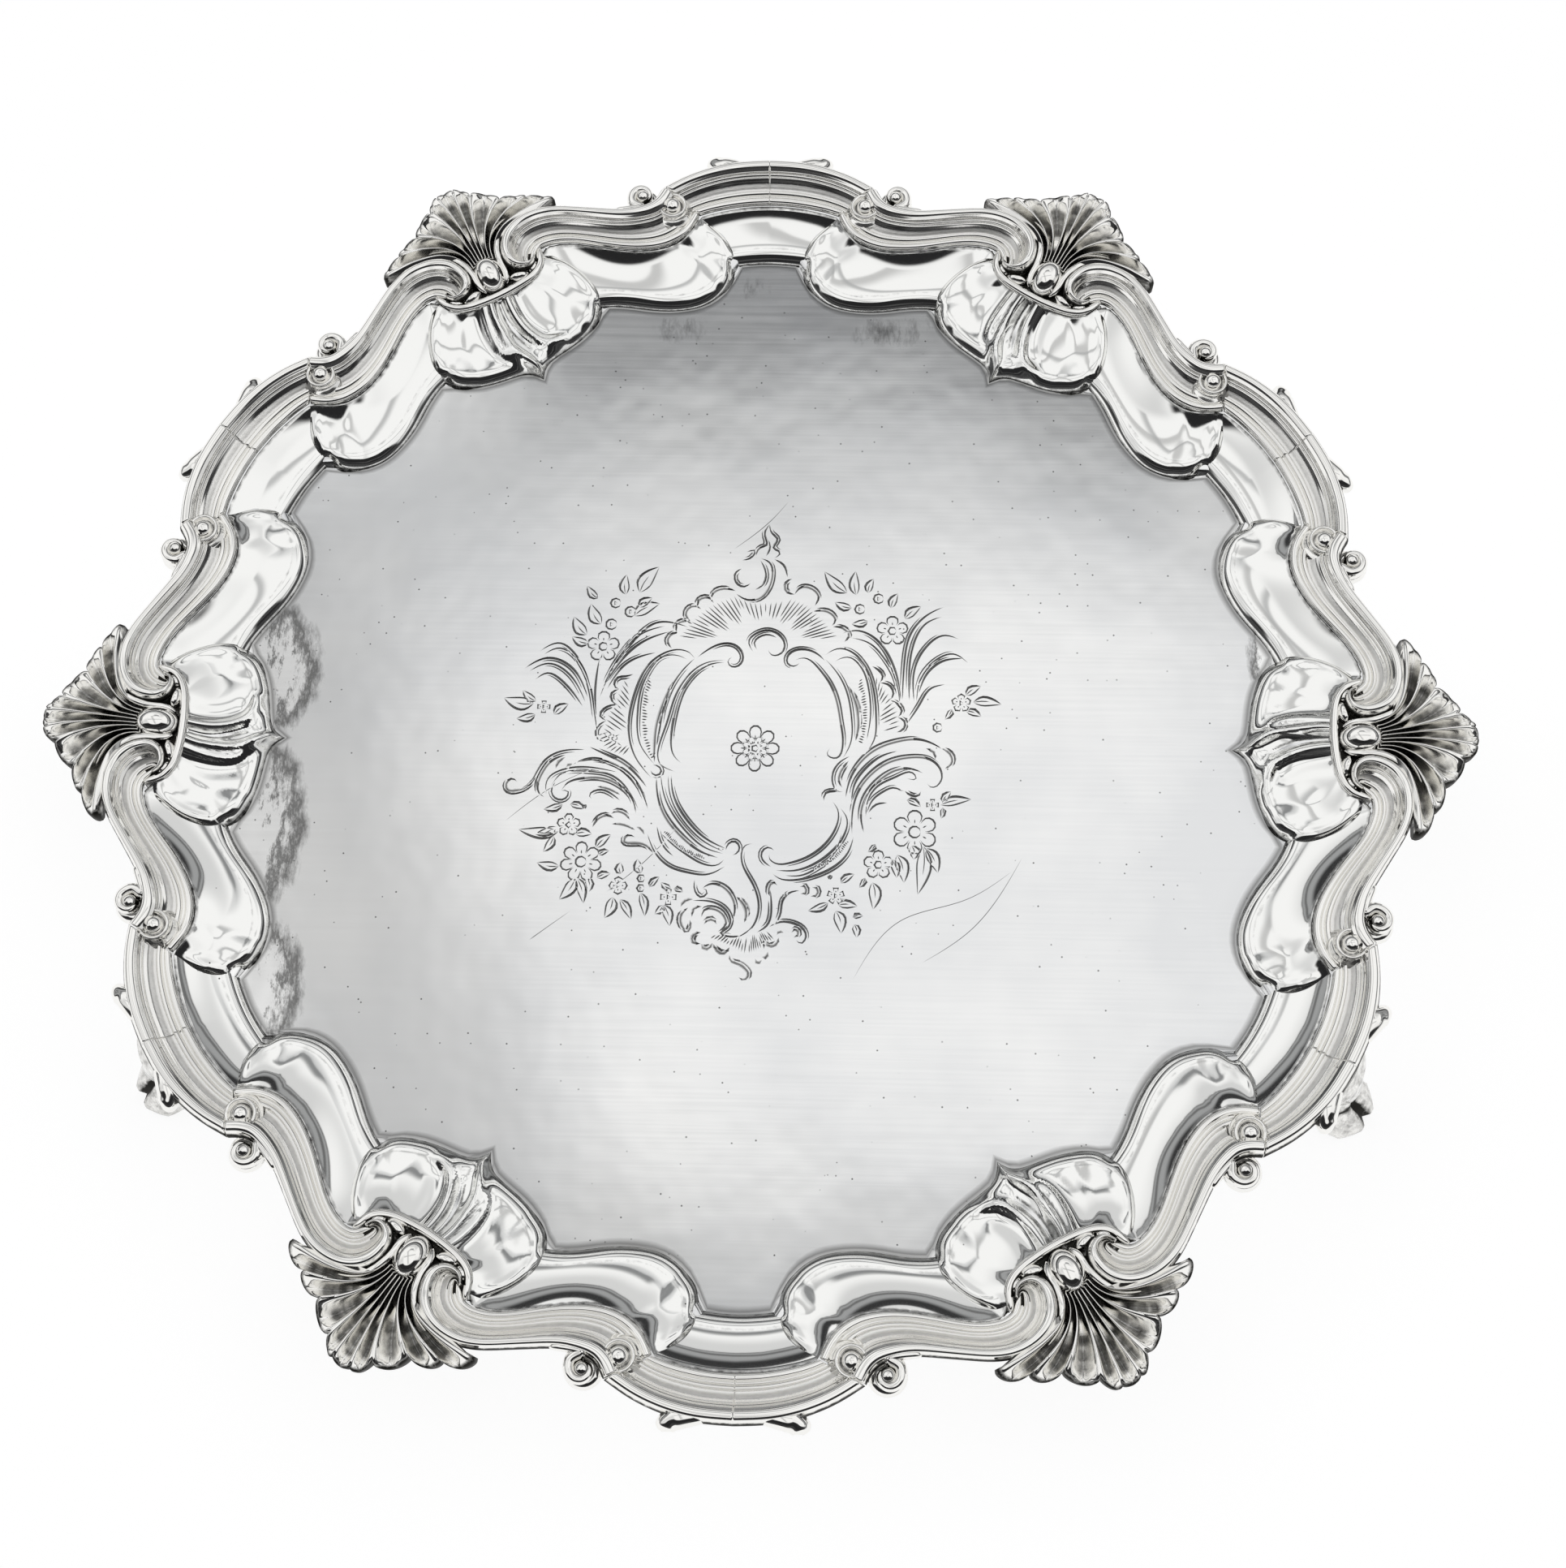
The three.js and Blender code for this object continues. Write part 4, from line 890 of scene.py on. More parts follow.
# Long fine scratches of wear.
scratches = [
    [(-0.56, -0.52), (-0.46, -0.44), (-0.37, -0.37)],
    [(0.21, -0.51), (0.31, -0.38), (0.44, -0.335), (0.54, -0.27)],
    [(-0.3, -0.33), (-0.22, -0.26), (-0.16, -0.19)], [(-0.52, -0.18), (-0.42, -0.1), (-0.34, -0.06)],
    [(0.35, -0.47), (0.45, -0.4), (0.56, -0.24)], [(-0.06, 0.45), (0.02, 0.52), (0.06, 0.57)],
]
posy = {"centre": (0.0, -0.01), "petals": 8, "radius": 0.05}


def polarPoint(centre, reach, angle):
    return (centre[0] + reach * math.cos(angle), centre[1] + reach * math.sin(angle))


def petalLines(centre, radius, petals, first=90.0):
    lines = []
    for i in range(petals):
        middle = math.radians(first + i * 360 / petals)
        half = math.pi / petals * 0.86
        arc = []
        for share, reach in ((-1, 0.45), (-0.85, 0.85), (-0.3, 1.0), (0.3, 1.0), (0.85, 0.85), (1, 0.45)):
            angle = middle + half * share
            arc.append(polarPoint(centre, radius * reach, angle))
        lines.append((0.45, arc))
        lines.append((0.3, [polarPoint(centre, radius * reach, middle) for reach in (0.4, 0.62)]))
    lines.append((0.5, ringPoints(centre, radius * 0.27)))
    return lines


def ringPoints(centre, radius):
    return [polarPoint(centre, radius, i * math.tau / 8) for i in range(9)]


def leafLines(root, tip, width):
    a, b = np.array(root), np.array(tip)
    across = np.array([-(b - a)[1], (b - a)[0]]) * width * 0.78
    bow = across * 0.35
    sides = []
    for hand, thick in ((1, 0.6), (-1, 0.38)):
        low = a + (b - a) * 0.3 + bow + across * hand * 0.85
        high = a + (b - a) * 0.62 + bow + across * hand * 0.7
        sides.append((thick, [tuple(p) for p in (a, low, high, b)]))
    vein = [a, a + (b - a) * 0.3 + bow, a + (b - a) * 0.6 + bow]
    return sides + [(0.28, [tuple(p) for p in vein])]


def hatchLines(first, second, count, width=0.32):
    # short lines from one curve towards another
    a, b = curveThrough(first)(spread(count)), curveThrough(second)(spread(count))
    reach = [0.55 + 0.45 * abs(math.sin(i * math.pi / 5)) for i in range(count)]
    return [(width * (0.5 + 0.6 * r), [tuple(p), tuple(p + (q - p) * r)]) for p, q, r in zip(a, b, reach)]


def besideLine(width, line, offset, start, end):
    # a finer line that keeps company with a long one
    path = curveThrough(line)(np.linspace(start, end, 12))
    heading = np.gradient(path, axis=0)
    heading /= np.linalg.norm(heading, axis=1)[:, None]
    moved = path + np.column_stack([-heading[:, 1], heading[:, 0]]) * offset
    return (width * 0.7, [tuple(p) for p in moved])


def engravedLines():
    lines = frameLines + acanthusLines + frondLines + shellworkLines + baseLines
    lines = lines + [besideLine(width, line, 0.0055, 0.12, 0.8) for width, line in lines if len(line) >= 4]
    lines = [(width * 1.25, line) for width, line in lines]
    lines = lines + [(0.15, line) for line in scratches]
    for centre, radius, petals in flowers:
        lines = lines + petalLines(centre, radius, petals)
    for centre, radius in buds:
        lines = lines + [(0.5, ringPoints(centre, radius)), (0.35, ringPoints(centre, radius * 0.4))]
    for root, tip, width in leaves:
        lines = lines + leafLines(root, tip, width)
    lines = lines + petalLines(posy["centre"], posy["radius"], posy["petals"], 90)
    lines = lines + petalLines(posy["centre"], posy["radius"] * 0.55, posy["petals"], 112.5)
    for first, second, count in hatches:
        lines = lines + hatchLines(first, second, count)
    return lines


# V-shaped cuts over a flat disc: each line becomes a floor and two edges that taper at its ends.
def addEngravedField(bm):
    ring = plate["engravedRadius"]
    points, edges, floors = [], [], []
    for i in range(plate["columns"]):
        angle = math.tau * i / plate["columns"]
        points.append(Vector((ring * math.sin(angle), ring * math.cos(angle))))
        edges.append((i, (i + 1) % plate["columns"]))
    for width, line in engravedLines():
        path = curveThrough(line)(spread(40)) if len(line) > 2 else np.array(line, float)
        length = np.concatenate([[0], np.cumsum(np.linalg.norm(np.diff(path, axis=0), axis=1))])
        count = max(4, int(length[-1] / 0.007))
        at = np.linspace(0, length[-1], count)
        middle = np.column_stack([np.interp(at, length, path[:, k]) for k in (0, 1)])
        heading = np.gradient(middle, axis=0)
        heading /= np.linalg.norm(heading, axis=1)[:, None]
        across = np.column_stack([-heading[:, 1], heading[:, 0]])
        taper = np.clip(np.sin(np.pi * np.linspace(0, 1, count)), 0, 1) ** 0.6
        half = width / 2 / cuspMm * taper
        rows = [middle, middle + across * half[:, None], middle - across * half[:, None]]
        for number, row in enumerate(rows):
            first = len(points)
            points += [Vector(p) for p in row]
            edges += [(first + i, first + i + 1) for i in range(count - 1)]
            if number == 0:
                floors += [(p[0], p[1], h, t) for p, h, t in zip(row, half, taper)]
    found = delaunay_2d_cdt(points, edges, [], 1, 1e-6)
    tree = kdtree.KDTree(len(floors))
    for i, (x, y, _, _) in enumerate(floors):
        tree.insert((x, y, 0), i)
    tree.balance()
    recess = bm.verts.layers.float["recess"]
    made = []
    for place in found[0]:
        near = tree.find((place[0], place[1], 0))
        _, _, half, taper = floors[near[1]]
        inside = max(0.0, 1 - near[2] / max(half, 1e-6)) * min(1, 2 * taper)
        wide = min(half * cuspMm / 0.22, 1.6)
        vert = bm.verts.new((place[0] * cusp, place[1] * cusp, -plate["grooveDepth"] * inside * wide * mm))
        # painted shade and tarnish in the cuts, darkest at their floors
        vert[recess] = min(1.0, inside * 1.2)
        made.append(vert)
    for corners in found[2]:
        bm.faces.new([made[i] for i in corners])
    return made


def plateMesh():
    bm = startMesh()
    addPlateBody(bm)
    addEngravedField(bm)
    bmesh.ops.remove_doubles(bm, verts=bm.verts, dist=0.004 * mm)
    mesh = finishMesh(bm, "plate")
    for face in mesh.polygons:  # the field is flat, and each engraved cut has crisp sides
        face.use_smooth = max(abs(mesh.vertices[i].co.z) for i in face.vertices) > 0.3 * mm
    return mesh


foot = {
    "top": 5.0,    # hidden under the mouldings
    # share of the drop, reach in cusp radii, depth and width in millimetres
    "levels": [(0.0, 1.335, 10, 20), (0.14, 1.355, 10.5, 16), (0.38, 1.375, 9.5, 10), (0.6, 1.378, 7, 8),
               (0.74, 1.39, 8.4, 10.2), (0.86, 1.408, 11.2, 13.4), (0.95, 1.419, 12.9, 14.9),
               (1.0, 1.42, 12.2, 14.0)],
    "cleft": 1.5,  # depth of the cleft in the hoof
}


def footMesh():
    bm = startMesh()
    base = tableHeight / mm
    at = [level[0] for level in foot["levels"]]

    def surface(along, across):
        drop = np.clip((across - 0.08) / 0.84, 0, 1)
        fill = np.clip(across / 0.08, 0, 1) * np.clip((1 - across) / 0.08, 0, 1)
        reach, deep, wide = (np.interp(drop, at, [level[i] for level in foot["levels"]]) for i in (1, 2, 3))
        angle = along * math.tau
        hoof = smoothStep(drop, 0.68, 0.8)
        facet = np.cos((angle * 8 + math.pi) % math.tau / 8 - math.pi / 8)
        size = 1 - hoof * (1 - math.cos(math.pi / 8) / np.maximum(facet, 0.5)) * 0.6
        x = np.cos(angle) * wide / 2 * size * fill
        y = np.sin(angle) * deep / 2 * size * fill
        cleft = foot["cleft"] * hoof * np.exp(-(np.cos(angle) / 0.13) ** 2) * (np.sin(angle) > 0) * fill
        y = y - cleft
        plan = np.column_stack([x / cuspMm, reach + y / cuspMm])
        height = foot["top"] - drop * (foot["top"] - base)
        band = np.exp(-((drop - 0.72) / 0.02) ** 2)
        # painted shade and tarnish: the whole foot darkened, more in the cleft and in a band where the hoof
        # begins
        return inMetres(plan, height), {"recess": np.clip(0.4 + cleft + 0.6 * band, 0, 1)}

    addSheet(bm, 64, 60, surface)
    return finishMesh(bm, "foot")


# Smears of oxide beside the border: centre, half width and half depth in cusp radii, and strength.
oxideSmears = [
    (-1.07, 0.15, 0.16, 0.2, 1), (-1.06, -0.2, 0.15, 0.25, 1), (-1.03, -0.54, 0.15, 0.19, 1),
    (1.1, 0.22, 0.07, 0.14, 0.9), (-0.2, 1.0, 0.12, 0.08, 0.2), (-0.04, 1.11, 0.1, 0.07, 0.2),
    (0.28, 1.0, 0.2, 0.09, 0.22),
]
# The mean spacing of the pits is in metres, and each pattern is given by how often it repeats in one.
fieldFinish = {
    "bright": "#f4f4f3",
    "clouded": "#e2e3e4",
    "wiped": "#fbfbfa",
    # the oxide colour also paints shade and tarnish in the engraved cuts and at the foot of the shoulder
    "oxide": "#4c4b49",
    "pitSpacing": 0.0023,
    "clouds": 14.0,                    # 70 mm, left by the hammer
    "brushing": (22.0, 1300.0, 1.0),   # 45 by 0.8 mm: real polishing marks are finer, and would not show
    "smearing": (260.0, 90.0, 1.0),    # 4 by 11 mm
}
panelFinish = {
    "bright": "#f4f4f2",
    # colour of tarnish, also used for painted shade
    "tarnishAndShade": "#2f2e2c",
    "pitSpacing": 0.0032,
    # size of the mottling in the painted shade and tarnish
    "shadeAndGrime": 700.0,                    # 1.4 mm
    "waves": 60.0,                     # 17 mm
}
castFinish = {
    "bright": "#f4f3f0",
    # colour of tarnish, also used for painted shade
    "tarnishAndShade": "#2b2a27",
    "sand": 1900.0,                    # 0.5 mm, coarser than casting sand, so that it shows
    "patches": 520.0,                  # 2 mm
    "waves": 130.0,                    # 8 mm
}


def startSilver(name):
    material = bpy.data.materials.new(name)
    material.use_nodes = True
    tree = material.node_tree
    shader = tree.nodes["Principled BSDF"]
    shader.inputs["Metallic"].default_value = 1.0
    at = addNode(tree, "ShaderNodeTexCoord", {}, {}).outputs["Object"]
    # recess: painted shade and tarnish in creases, grooves, joints and undersides
    shadeAndTarnish = addNode(tree, "ShaderNodeAttribute", {"attribute_name": "recess"}, {}).outputs["Fac"]
    return material, tree, shader, at, shadeAndTarnish


# Sterling silver, hammered flat and hand polished: soft grey gloss with fine scratches and pits, and painted
# shade and tarnish in the engraved cuts and at the foot of the shoulder.
def fieldSilver():
    material, tree, shader, at, shadeAndTarnish = startSilver("sterlingSheetPolished")
    cloud = addNode(tree, "ShaderNodeTexNoise", {},
                    {"Vector": at, "Scale": fieldFinish["clouds"], "Detail": 4.0, "Roughness": 0.55})
    speck = addNode(tree, "ShaderNodeTexVoronoi", {}, {"Vector": at, "Scale": 1 / fieldFinish["pitSpacing"]})
    speckSize = addNode(tree, "ShaderNodeMapRange", {},
                        {"Value": speck.outputs["Distance"], 1: 0.05, 2: 0.1, 3: 0.9, 4: 0.0})
    pick = addNode(tree, "ShaderNodeMath", {"operation": "GREATER_THAN"},
                   {0: speck.outputs["Color"], 1: 0.54})
    pit = addNode(tree, "ShaderNodeMath", {"operation": "MULTIPLY"},
                  {0: speckSize.outputs[0], 1: pick.outputs[0]})
    stretch = addNode(tree, "ShaderNodeMapping", {},
                      {"Vector": at, "Rotation": (0, 0, 0.6), "Scale": fieldFinish["brushing"]})
    brushed = addNode(tree, "ShaderNodeTexNoise", {},
                      {"Vector": stretch.outputs[0], "Scale": 1.0, "Detail": 2.0})
    smear = None
    for x, y, wide, deep, strength in oxideSmears:
        local = addNode(tree, "ShaderNodeMapping", {"vector_type": "TEXTURE"},
                        {"Vector": at, "Location": (x * cusp, y * cusp, 0),
                         "Scale": (wide * cusp, deep * cusp, 1)})
        ball = addNode(tree, "ShaderNodeTexGradient", {"gradient_type": "SPHERICAL"},
                       {"Vector": local.outputs[0]})
        weak = addNode(tree, "ShaderNodeMath", {"operation": "MULTIPLY"},
                       {0: ball.outputs["Fac"], 1: strength}).outputs[0]
        if smear is None:
            smear = weak
        else:
            smear = addNode(tree, "ShaderNodeMath", {"operation": "MAXIMUM"}, {0: smear, 1: weak}).outputs[0]
    along = addNode(tree, "ShaderNodeMapping", {},
                    {"Vector": at, "Scale": fieldFinish["smearing"], "Rotation": (0, 0, 0.3)})
    ragged = addNode(tree, "ShaderNodeTexNoise", {},
                     {"Vector": along.outputs[0], "Scale": 1.0, "Detail": 8.0, "Roughness": 0.75})
    torn = addNode(tree, "ShaderNodeMapRange", {},
                   {"Value": ragged.outputs["Fac"], 1: 0.3, 2: 0.7, 3: 0.1, 4: 1.9})
    smudge = addNode(tree, "ShaderNodeMath", {"operation": "MULTIPLY"}, {0: smear, 1: torn.outputs[0]})
    rise = addNode(tree, "ShaderNodeMapRange", {},
                   {"Value": smudge.outputs[0], 1: 0.12, 2: 0.32, 3: 0.0, 4: 0.8})
    fall = addNode(tree, "ShaderNodeMapRange", {},
                   {"Value": smudge.outputs[0], 1: 0.34, 2: 0.55, 3: 1.0, 4: 0.0})
    oxide = addNode(tree, "ShaderNodeMath", {"operation": "MULTIPLY"},
                    {0: rise.outputs[0], 1: fall.outputs[0]})
    clean = addNode(tree, "ShaderNodeMapRange", {},
                    {"Value": smudge.outputs[0], 1: 0.32, 2: 0.5, 3: 0.0, 4: 1.0})
    darker = addNode(tree, "ShaderNodeMath", {"operation": "MAXIMUM"},
                     {0: pit.outputs[0], 1: oxide.outputs[0]})
    # real pits and oxide, with painted shade and tarnish from the recess attribute
    dirtAndShade = addNode(tree, "ShaderNodeMath", {"operation": "MAXIMUM"}, {0: darker.outputs[0], 1: shadeAndTarnish})
    mottle = addNode(tree, "ShaderNodeMath", {"operation": "MULTIPLY_ADD"},
                     {0: brushed.outputs["Fac"], 1: 0.1, 2: cloud.outputs["Fac"]})
    shades = addNode(tree, "ShaderNodeMapRange", {},
                     {"Value": mottle.outputs[0], 1: 0.4, 2: 0.7, 3: 0.0, 4: 1.0})
    tone = addNode(tree, "ShaderNodeMix", {"data_type": "RGBA"},
                   {0: shades.outputs[0], 6: colour(fieldFinish["bright"]),
                    7: colour(fieldFinish["clouded"])})
    wiped = addNode(tree, "ShaderNodeMix", {"data_type": "RGBA"},
                    {0: clean.outputs[0], 6: tone.outputs[2], 7: colour(fieldFinish["wiped"])})
    # real oxide and pits, and painted shade with tarnish, all take the oxide colour
    base = addNode(tree, "ShaderNodeMix", {"data_type": "RGBA"},
                   {0: dirtAndShade.outputs[0], 6: wiped.outputs[2], 7: colour(fieldFinish["oxide"])})
    tree.links.new(base.outputs[2], shader.inputs["Base Color"])
    gloss = addNode(tree, "ShaderNodeMapRange", {},
                    {"Value": brushed.outputs["Fac"], 1: 0.3, 2: 0.7, 3: 0.1, 4: 0.14})
    tree.links.new(gloss.outputs[0], shader.inputs["Roughness"])
    wave = addNode(tree, "ShaderNodeBump", {},
                   {"Height": cloud.outputs["Fac"], "Strength": 0.35, "Distance": 0.0012})
    scratch = addNode(tree, "ShaderNodeBump", {}, {"Height": brushed.outputs["Fac"], "Strength": 0.1,
                                                   "Distance": 0.00002, "Normal": wave.outputs[0]})
    tree.links.new(scratch.outputs[0], shader.inputs["Normal"])
    return material


# Sterling silver burnished to a mirror, with painted shade and tarnish in its creases and along its edges and
# joints.
def burnishedSilver():
    material, tree, shader, at, shadeAndTarnish = startSilver("sterlingSheetBurnished")
    fine = addNode(tree, "ShaderNodeTexNoise", {},
                   {"Vector": at, "Scale": panelFinish["shadeAndGrime"], "Detail": 3.0})
    speck = addNode(tree, "ShaderNodeTexVoronoi", {}, {"Vector": at, "Scale": 1 / panelFinish["pitSpacing"]})
    speckSize = addNode(tree, "ShaderNodeMapRange", {},
                        {"Value": speck.outputs["Distance"], 1: 0.03, 2: 0.08, 3: 1.0, 4: 0.0})
    pick = addNode(tree, "ShaderNodeMath", {"operation": "GREATER_THAN"},
                   {0: speck.outputs["Color"], 1: 0.82})
    pit = addNode(tree, "ShaderNodeMath", {"operation": "MULTIPLY"},
                  {0: speckSize.outputs[0], 1: pick.outputs[0]})
    # painted shade and tarnish from the recess attribute, broken up by fine noise
    mottledShadeAndTarnish = addNode(tree, "ShaderNodeMath", {"operation": "MULTIPLY"}, {0: shadeAndTarnish, 1: fine.outputs["Fac"]})
    crease = addNode(tree, "ShaderNodeMapRange", {},
                     {"Value": mottledShadeAndTarnish.outputs[0], 1: 0.12, 2: 0.5, 3: 0.0, 4: 1.0})
    dirtAndShade = addNode(tree, "ShaderNodeMath", {"operation": "MAXIMUM"},
                   {0: crease.outputs[0], 1: pit.outputs[0]})
    base = addNode(tree, "ShaderNodeMix", {"data_type": "RGBA"},
                   {0: dirtAndShade.outputs[0], 6: colour(panelFinish["bright"]), 7: colour(panelFinish["tarnishAndShade"])})
    tree.links.new(base.outputs[2], shader.inputs["Base Color"])
    gloss = addNode(tree, "ShaderNodeMapRange", {},
                    {"Value": dirtAndShade.outputs[0], 1: 0.0, 2: 1.0, 3: 0.07, 4: 0.5})
    tree.links.new(gloss.outputs[0], shader.inputs["Roughness"])
    wave = addNode(tree, "ShaderNodeTexNoise", {},
                   {"Vector": at, "Scale": panelFinish["waves"], "Detail": 1.0})
    bump = addNode(tree, "ShaderNodeBump", {},
                   {"Height": wave.outputs["Fac"], "Strength": 0.12, "Distance": 0.0004})
    tree.links.new(bump.outputs[0], shader.inputs["Normal"])
    return material


# Sand-cast sterling silver, chased and polished: bright on the crests, matt and pitted in the hollows, with
# painted shade and tarnish in the grooves, joints and undersides.
def castSilver():
    material, tree, shader, at, shadeAndTarnish = startSilver("sterlingCastChased")
    matt = addNode(tree, "ShaderNodeAttribute", {"attribute_name": "matt"}, {}).outputs["Fac"]
    sand = addNode(tree, "ShaderNodeTexNoise", {},
                   {"Vector": at, "Scale": castFinish["sand"], "Detail": 4.0, "Roughness": 0.7})
    patch = addNode(tree, "ShaderNodeTexNoise", {},
                    {"Vector": at, "Scale": castFinish["patches"], "Detail": 6.0, "Roughness": 0.72})
    # painted shade and tarnish from the recess attribute, broken up by patchy noise
    mottledShadeAndTarnish = addNode(tree, "ShaderNodeMath", {"operation": "MULTIPLY"}, {0: shadeAndTarnish, 1: patch.outputs["Fac"]})
    crease = addNode(tree, "ShaderNodeMapRange", {},
                     {"Value": mottledShadeAndTarnish.outputs[0], 1: 0.14, 2: 0.4, 3: 0.0, 4: 1.0})
    rough = addNode(tree, "ShaderNodeMath", {"operation": "MULTIPLY"}, {0: matt, 1: patch.outputs["Fac"]})
    hollow = addNode(tree, "ShaderNodeMapRange", {},
                     {"Value": rough.outputs[0], 1: 0.42, 2: 0.8, 3: 0.0, 4: 0.2})
    dirtAndShade = addNode(tree, "ShaderNodeMath", {"operation": "MAXIMUM"},
                   {0: crease.outputs[0], 1: hollow.outputs[0]})
    base = addNode(tree, "ShaderNodeMix", {"data_type": "RGBA"},
                   {0: dirtAndShade.outputs[0], 6: colour(castFinish["bright"]), 7: colour(castFinish["tarnishAndShade"])})
    tree.links.new(base.outputs[2], shader.inputs["Base Color"])
    gloss = addNode(tree, "ShaderNodeMapRange", {}, {"Value": matt, 1: 0.0, 2: 1.0, 3: 0.08, 4: 0.45})
    duller = addNode(tree, "ShaderNodeMath", {"operation": "MAXIMUM"},
                     {0: gloss.outputs[0], 1: crease.outputs[0]})
    lowered = addNode(tree, "ShaderNodeMath", {"operation": "MINIMUM"}, {0: duller.outputs[0], 1: 0.55})
    tree.links.new(lowered.outputs[0], shader.inputs["Roughness"])
    pitted = addNode(tree, "ShaderNodeMath", {"operation": "MULTIPLY"}, {0: sand.outputs["Fac"], 1: matt})
    bump = addNode(tree, "ShaderNodeBump", {},
                   {"Height": pitted.outputs[0], "Strength": 0.5, "Distance": 0.00012})
    uneven = addNode(tree, "ShaderNodeTexNoise", {},
                     {"Vector": at, "Scale": castFinish["waves"], "Detail": 1.0})
    wave = addNode(tree, "ShaderNodeBump", {}, {"Height": uneven.outputs["Fac"], "Strength": 0.25,
                                                "Distance": 0.0003, "Normal": bump.outputs[0]})
    tree.links.new(wave.outputs[0], shader.inputs["Normal"])
    return material


# The sky of the studio in layers, each over the ones before: its colour, and the steps that bound it.
# A step says what it runs along, where it starts and ends, and its strength before and after.
white, black, darkGrey = (1.0, 1.0, 1.0, 1), (0.02, 0.02, 0.021, 1), (0.1, 0.1, 0.1, 1)
skyLayers = [
    # a pale grey stretch beyond the salver, under the white overhead
    ((0.72, 0.725, 0.73, 1), [("up", 0.84, 0.86, 0.0, 1.0), ("far", 0.3, 0.45, 0.0, 1.0)]),
    (white, [("up", 0.885, 0.925, 0.0, 1.0)]),
    # soft grey clouds lower down, which give the castings their tones
    ((0.42, 0.425, 0.43, 1), [("cloud", 0.35, 0.7, 0.0, 0.5), ("up", 0.8, 0.9, 1.0, 0.0)]),
    # two dim strips overhead, seen at the left and near edges of the field
    ((0.35, 0.35, 0.35, 1), [("up", 0.85, 0.87, 0.0, 1.0), ("slant", -0.23, -0.19, 0.0, 1.0),
                             ("slant", -0.15, -0.02, 0.6, 0.0)]),
    ((0.45, 0.455, 0.46, 1), [("up", 0.85, 0.87, 0.0, 1.0), ("far", 0.03, 0.065, 0.0, 1.0),
                              ("far", 0.08, 0.16, 0.85, 0.0)]),
    # a grey wall on the far side, with a dark line along its top
    (darkGrey, [("far", -0.05, 0.1, 0.0, 1.0), ("wavyWall", 0.55, 0.56, 1.0, 0.0),
                ("up", 0.16, 0.2, 0.0, 1.0)]),
    ((0.36, 0.365, 0.37, 1), [("far", -0.05, 0.1, 0.0, 1.0), ("wavyWall", 0.535, 0.545, 1.0, 0.0),
                              ("up", 0.16, 0.2, 0.0, 1.0)]),
    # a dark opening beyond the salver, with a haze round it, which shades the far part of the field
    ((0.4, 0.405, 0.41, 1), [("far", 0.3, 0.4, 0.0, 1.0), ("up", 0.78, 0.84, 0.0, 1.0),
                             ("wavyTop", 0.908, 0.914, 1.0, 0.0), ("aside", 0.14, 0.26, 0.3, 0.0)]),
    ((0.26, 0.265, 0.27, 1), [("far", 0.3, 0.4, 0.0, 1.0), ("up", 0.78, 0.84, 0.0, 1.0),
                              ("wavyTop", 0.892, 0.902, 1.0, 0.0), ("aside", 0.12, 0.2, 1.0, 0.0)]),
    # the dark room behind the camera
    (black, [("far", -0.4, -0.3, 1.0, 0.0), ("up", 0.79, 0.83, 1.0, 0.0), ("up", 0.2, 0.35, 0.0, 1.0)]),
    # a thin dark rail, and a dark band low down all round
    (darkGrey, [("wavyWall", 0.47, 0.48, 0.0, 0.85), ("wavyWall", 0.505, 0.515, 1.0, 0.0)]),
    (black, [("up", 0.28, 0.36, 0.95, 0.0), ("up", 0.16, 0.18, 0.0, 1.0)]),
]


# A plain pale studio with a white sky, whose reflections are all that silver shows.
def buildStudio():
    world = bpy.data.worlds.new("paleStudio")
    bpy.context.scene.world = world
    world.use_nodes = True
    tree = world.node_tree
    direction = addNode(tree, "ShaderNodeTexCoord", {}, {}).outputs["Generated"]
    x, y, z = addNode(tree, "ShaderNodeSeparateXYZ", {}, {0: direction}).outputs
    ripple = addNode(tree, "ShaderNodeTexNoise", {}, {"Vector": direction, "Scale": 3.0, "Detail": 2.0})
    cloud = addNode(tree, "ShaderNodeTexNoise", {}, {"Vector": direction, "Scale": 1.7, "Detail": 0.0})
    runs = {"up": z, "far": y, "cloud": cloud.outputs["Fac"]}
    runs["aside"] = addNode(tree, "ShaderNodeMath", {"operation": "ABSOLUTE"}, {0: x}).outputs[0]
    for name, value, share, rest in (("slant", y, 0.35, x), ("wavyWall", ripple.outputs["Fac"], 0.12, z),
                                     ("wavyTop", ripple.outputs["Fac"], 0.06, z)):
        runs[name] = addNode(tree, "ShaderNodeMath", {"operation": "MULTIPLY_ADD"},
                             {0: value, 1: share, 2: rest}).outputs[0]
    sky = white
    for shade, steps in skyLayers:
        cover = 1.0
        for name, low, high, start, end in steps:
            step = addNode(tree, "ShaderNodeMapRange", {"interpolation_type": "SMOOTHSTEP"},
                           {"Value": runs[name], 1: low, 2: high, 3: start, 4: end})
            cover = addNode(tree, "ShaderNodeMath", {"operation": "MULTIPLY"},
                            {0: cover, 1: step.outputs[0]}).outputs[0]
        sky = addNode(tree, "ShaderNodeMix", {"data_type": "RGBA"}, {0: cover, 6: sky, 7: shade}).outputs[2]
    background = tree.nodes["Background"]
    tree.links.new(sky, background.inputs["Color"])
    background.inputs["Strength"].default_value = 1.0


# A sheet of pale paper on the table, lit a little from within so that it stays white.
paper = {"halfSize": 6.0, "gap": 0.0002, "colour": "#8c8c8c", "roughness": 0.9, "glow": 0.83}


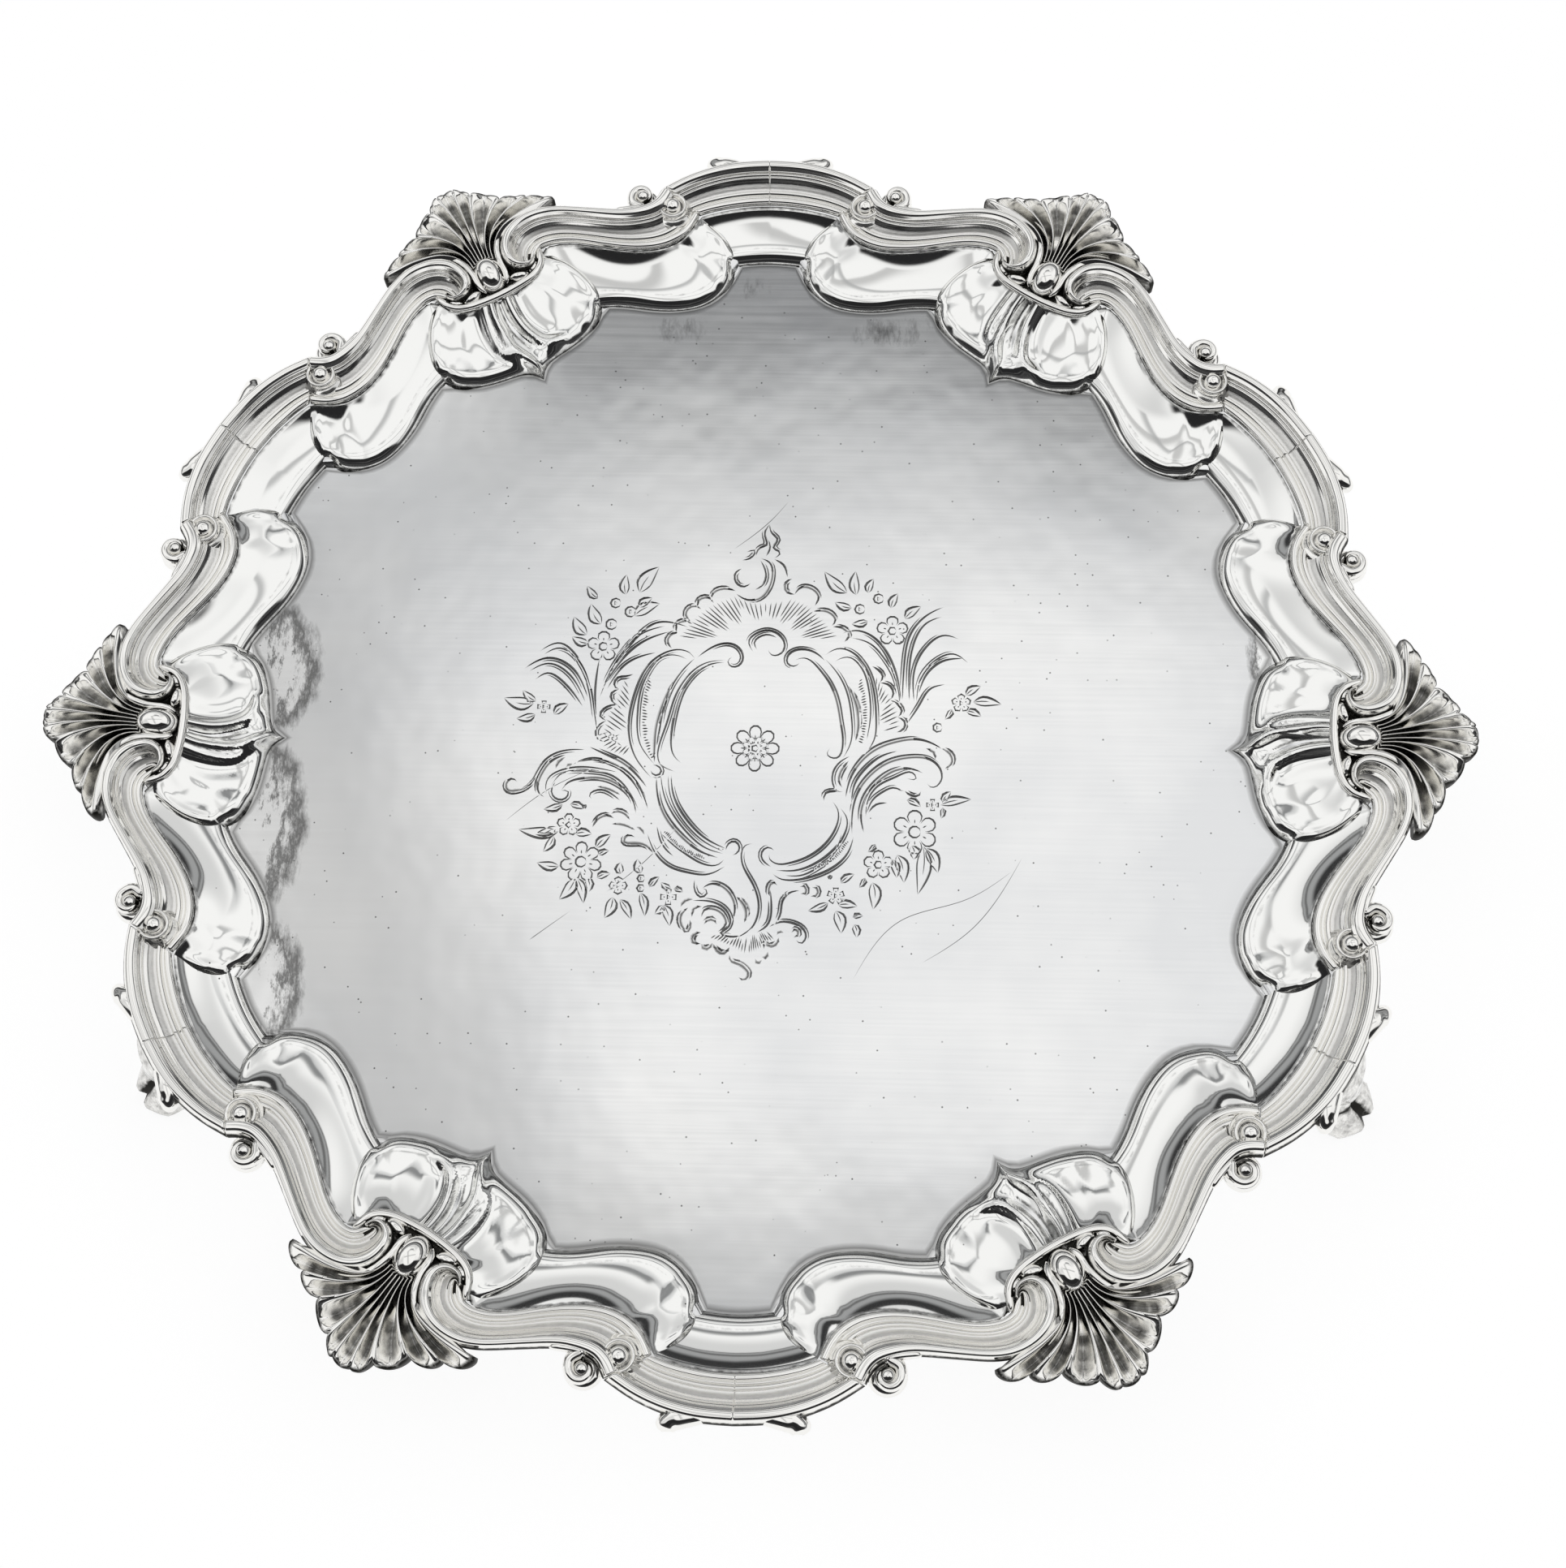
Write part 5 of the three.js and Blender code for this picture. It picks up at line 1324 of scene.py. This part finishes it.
def buildFloor():
    bm = bmesh.new()
    bmesh.ops.create_grid(bm, x_segments=1, y_segments=1, size=paper["halfSize"])
    bmesh.ops.translate(bm, verts=bm.verts, vec=(0, 0, tableHeight - paper["gap"]))
    mesh = bpy.data.meshes.new("paleFloor")
    bm.to_mesh(mesh)
    bm.free()
    floor = bpy.data.objects.new("paleFloor", mesh)
    bpy.context.scene.collection.objects.link(floor)
    material = bpy.data.materials.new("palePaper")
    material.use_nodes = True
    shader = material.node_tree.nodes["Principled BSDF"]
    shader.inputs["Base Color"].default_value = colour(paper["colour"])
    shader.inputs["Roughness"].default_value = paper["roughness"]
    shader.inputs["Emission Color"].default_value = (1, 1, 1, 1)
    shader.inputs["Emission Strength"].default_value = paper["glow"]
    mesh.materials.append(material)


# Camera angles are in degrees, its lens in millimetres and its place in cusp radii.
view = {"tilt": -18.81, "roll": 4.34, "heading": -5.43, "lens": 47.05, "place": (0.192, -1.468, 4.068)}


def buildCamera():
    tilt, roll, heading = (math.radians(view[name]) for name in ("tilt", "roll", "heading"))
    turn = Matrix.Rotation(roll, 3, "Z") @ Matrix.Rotation(tilt, 3, "X") @ Matrix.Rotation(heading, 3, "Z")
    lens = bpy.data.cameras.new("studioCamera")
    lens.sensor_width = 36
    lens.lens = view["lens"]
    camera = bpy.data.objects.new("studioCamera", lens)
    bpy.context.scene.collection.objects.link(camera)
    place = Matrix.Translation(Vector(view["place"]) * cusp)
    camera.matrix_world = place @ turn.transposed().to_4x4()
    bpy.context.scene.camera = camera


print("studio")
buildCamera()
buildStudio()
buildFloor()
bpy.context.scene.view_settings.view_transform = "Standard"
field, burnished, cast = fieldSilver(), burnishedSilver(), castSilver()

print("plate and engraving")
placePiece(plateMesh(), "platePiece", "plate", 90, 1, field)

print("shoulder panels")
bm = startMesh()
addLobe(bm)
lobeMesh = finishMesh(bm, "lobe")
panelMeshes = {}
for side in (1, -1):
    bm = startMesh()
    addPanel(bm, side)
    panelMeshes[side] = finishMesh(bm, "panel")
bm = startMesh()
addArchPanel(bm)
archMesh = finishMesh(bm, "archPanel")
for i in range(sectors):
    degrees = i * 360 / sectors
    placePiece(lobeMesh, f"lobe_{i + 1}", None, degrees, 1, burnished)
    placePiece(archMesh, f"arch_{i + 1}", None, degrees, 1, burnished)
    for hand, side in (("right", 1), ("left", -1)):
        placePiece(panelMeshes[side], f"panel_{i + 1}_{hand}", None, degrees, 1, burnished)

print("cast border")
sMesh, cMesh, fanMesh = sScrollMesh(), cScrollMesh(), shellMesh()
for i in range(sectors):
    degrees = i * 360 / sectors
    placePiece(fanMesh, f"shell_{i + 1}_cast", f"shell_{i + 1}", degrees, 1, cast)
    for hand, side in (("right", 1), ("left", -1)):
        placePiece(sMesh, f"sScroll_{i + 1}_{hand}", f"s_scroll_{i + 1}_{hand}", degrees, side, cast)
        placePiece(cMesh, f"cScroll_{i + 1}_{hand}", f"c_scroll_{i + 1}_{hand}", degrees - side * 30, side,
                   cast)

print("feet")
hoof = footMesh()
for i in range(3):
    placePiece(hoof, f"foot_{i + 1}_cast", f"foot_{i + 1}", 90 + 120 * i, 1, cast)
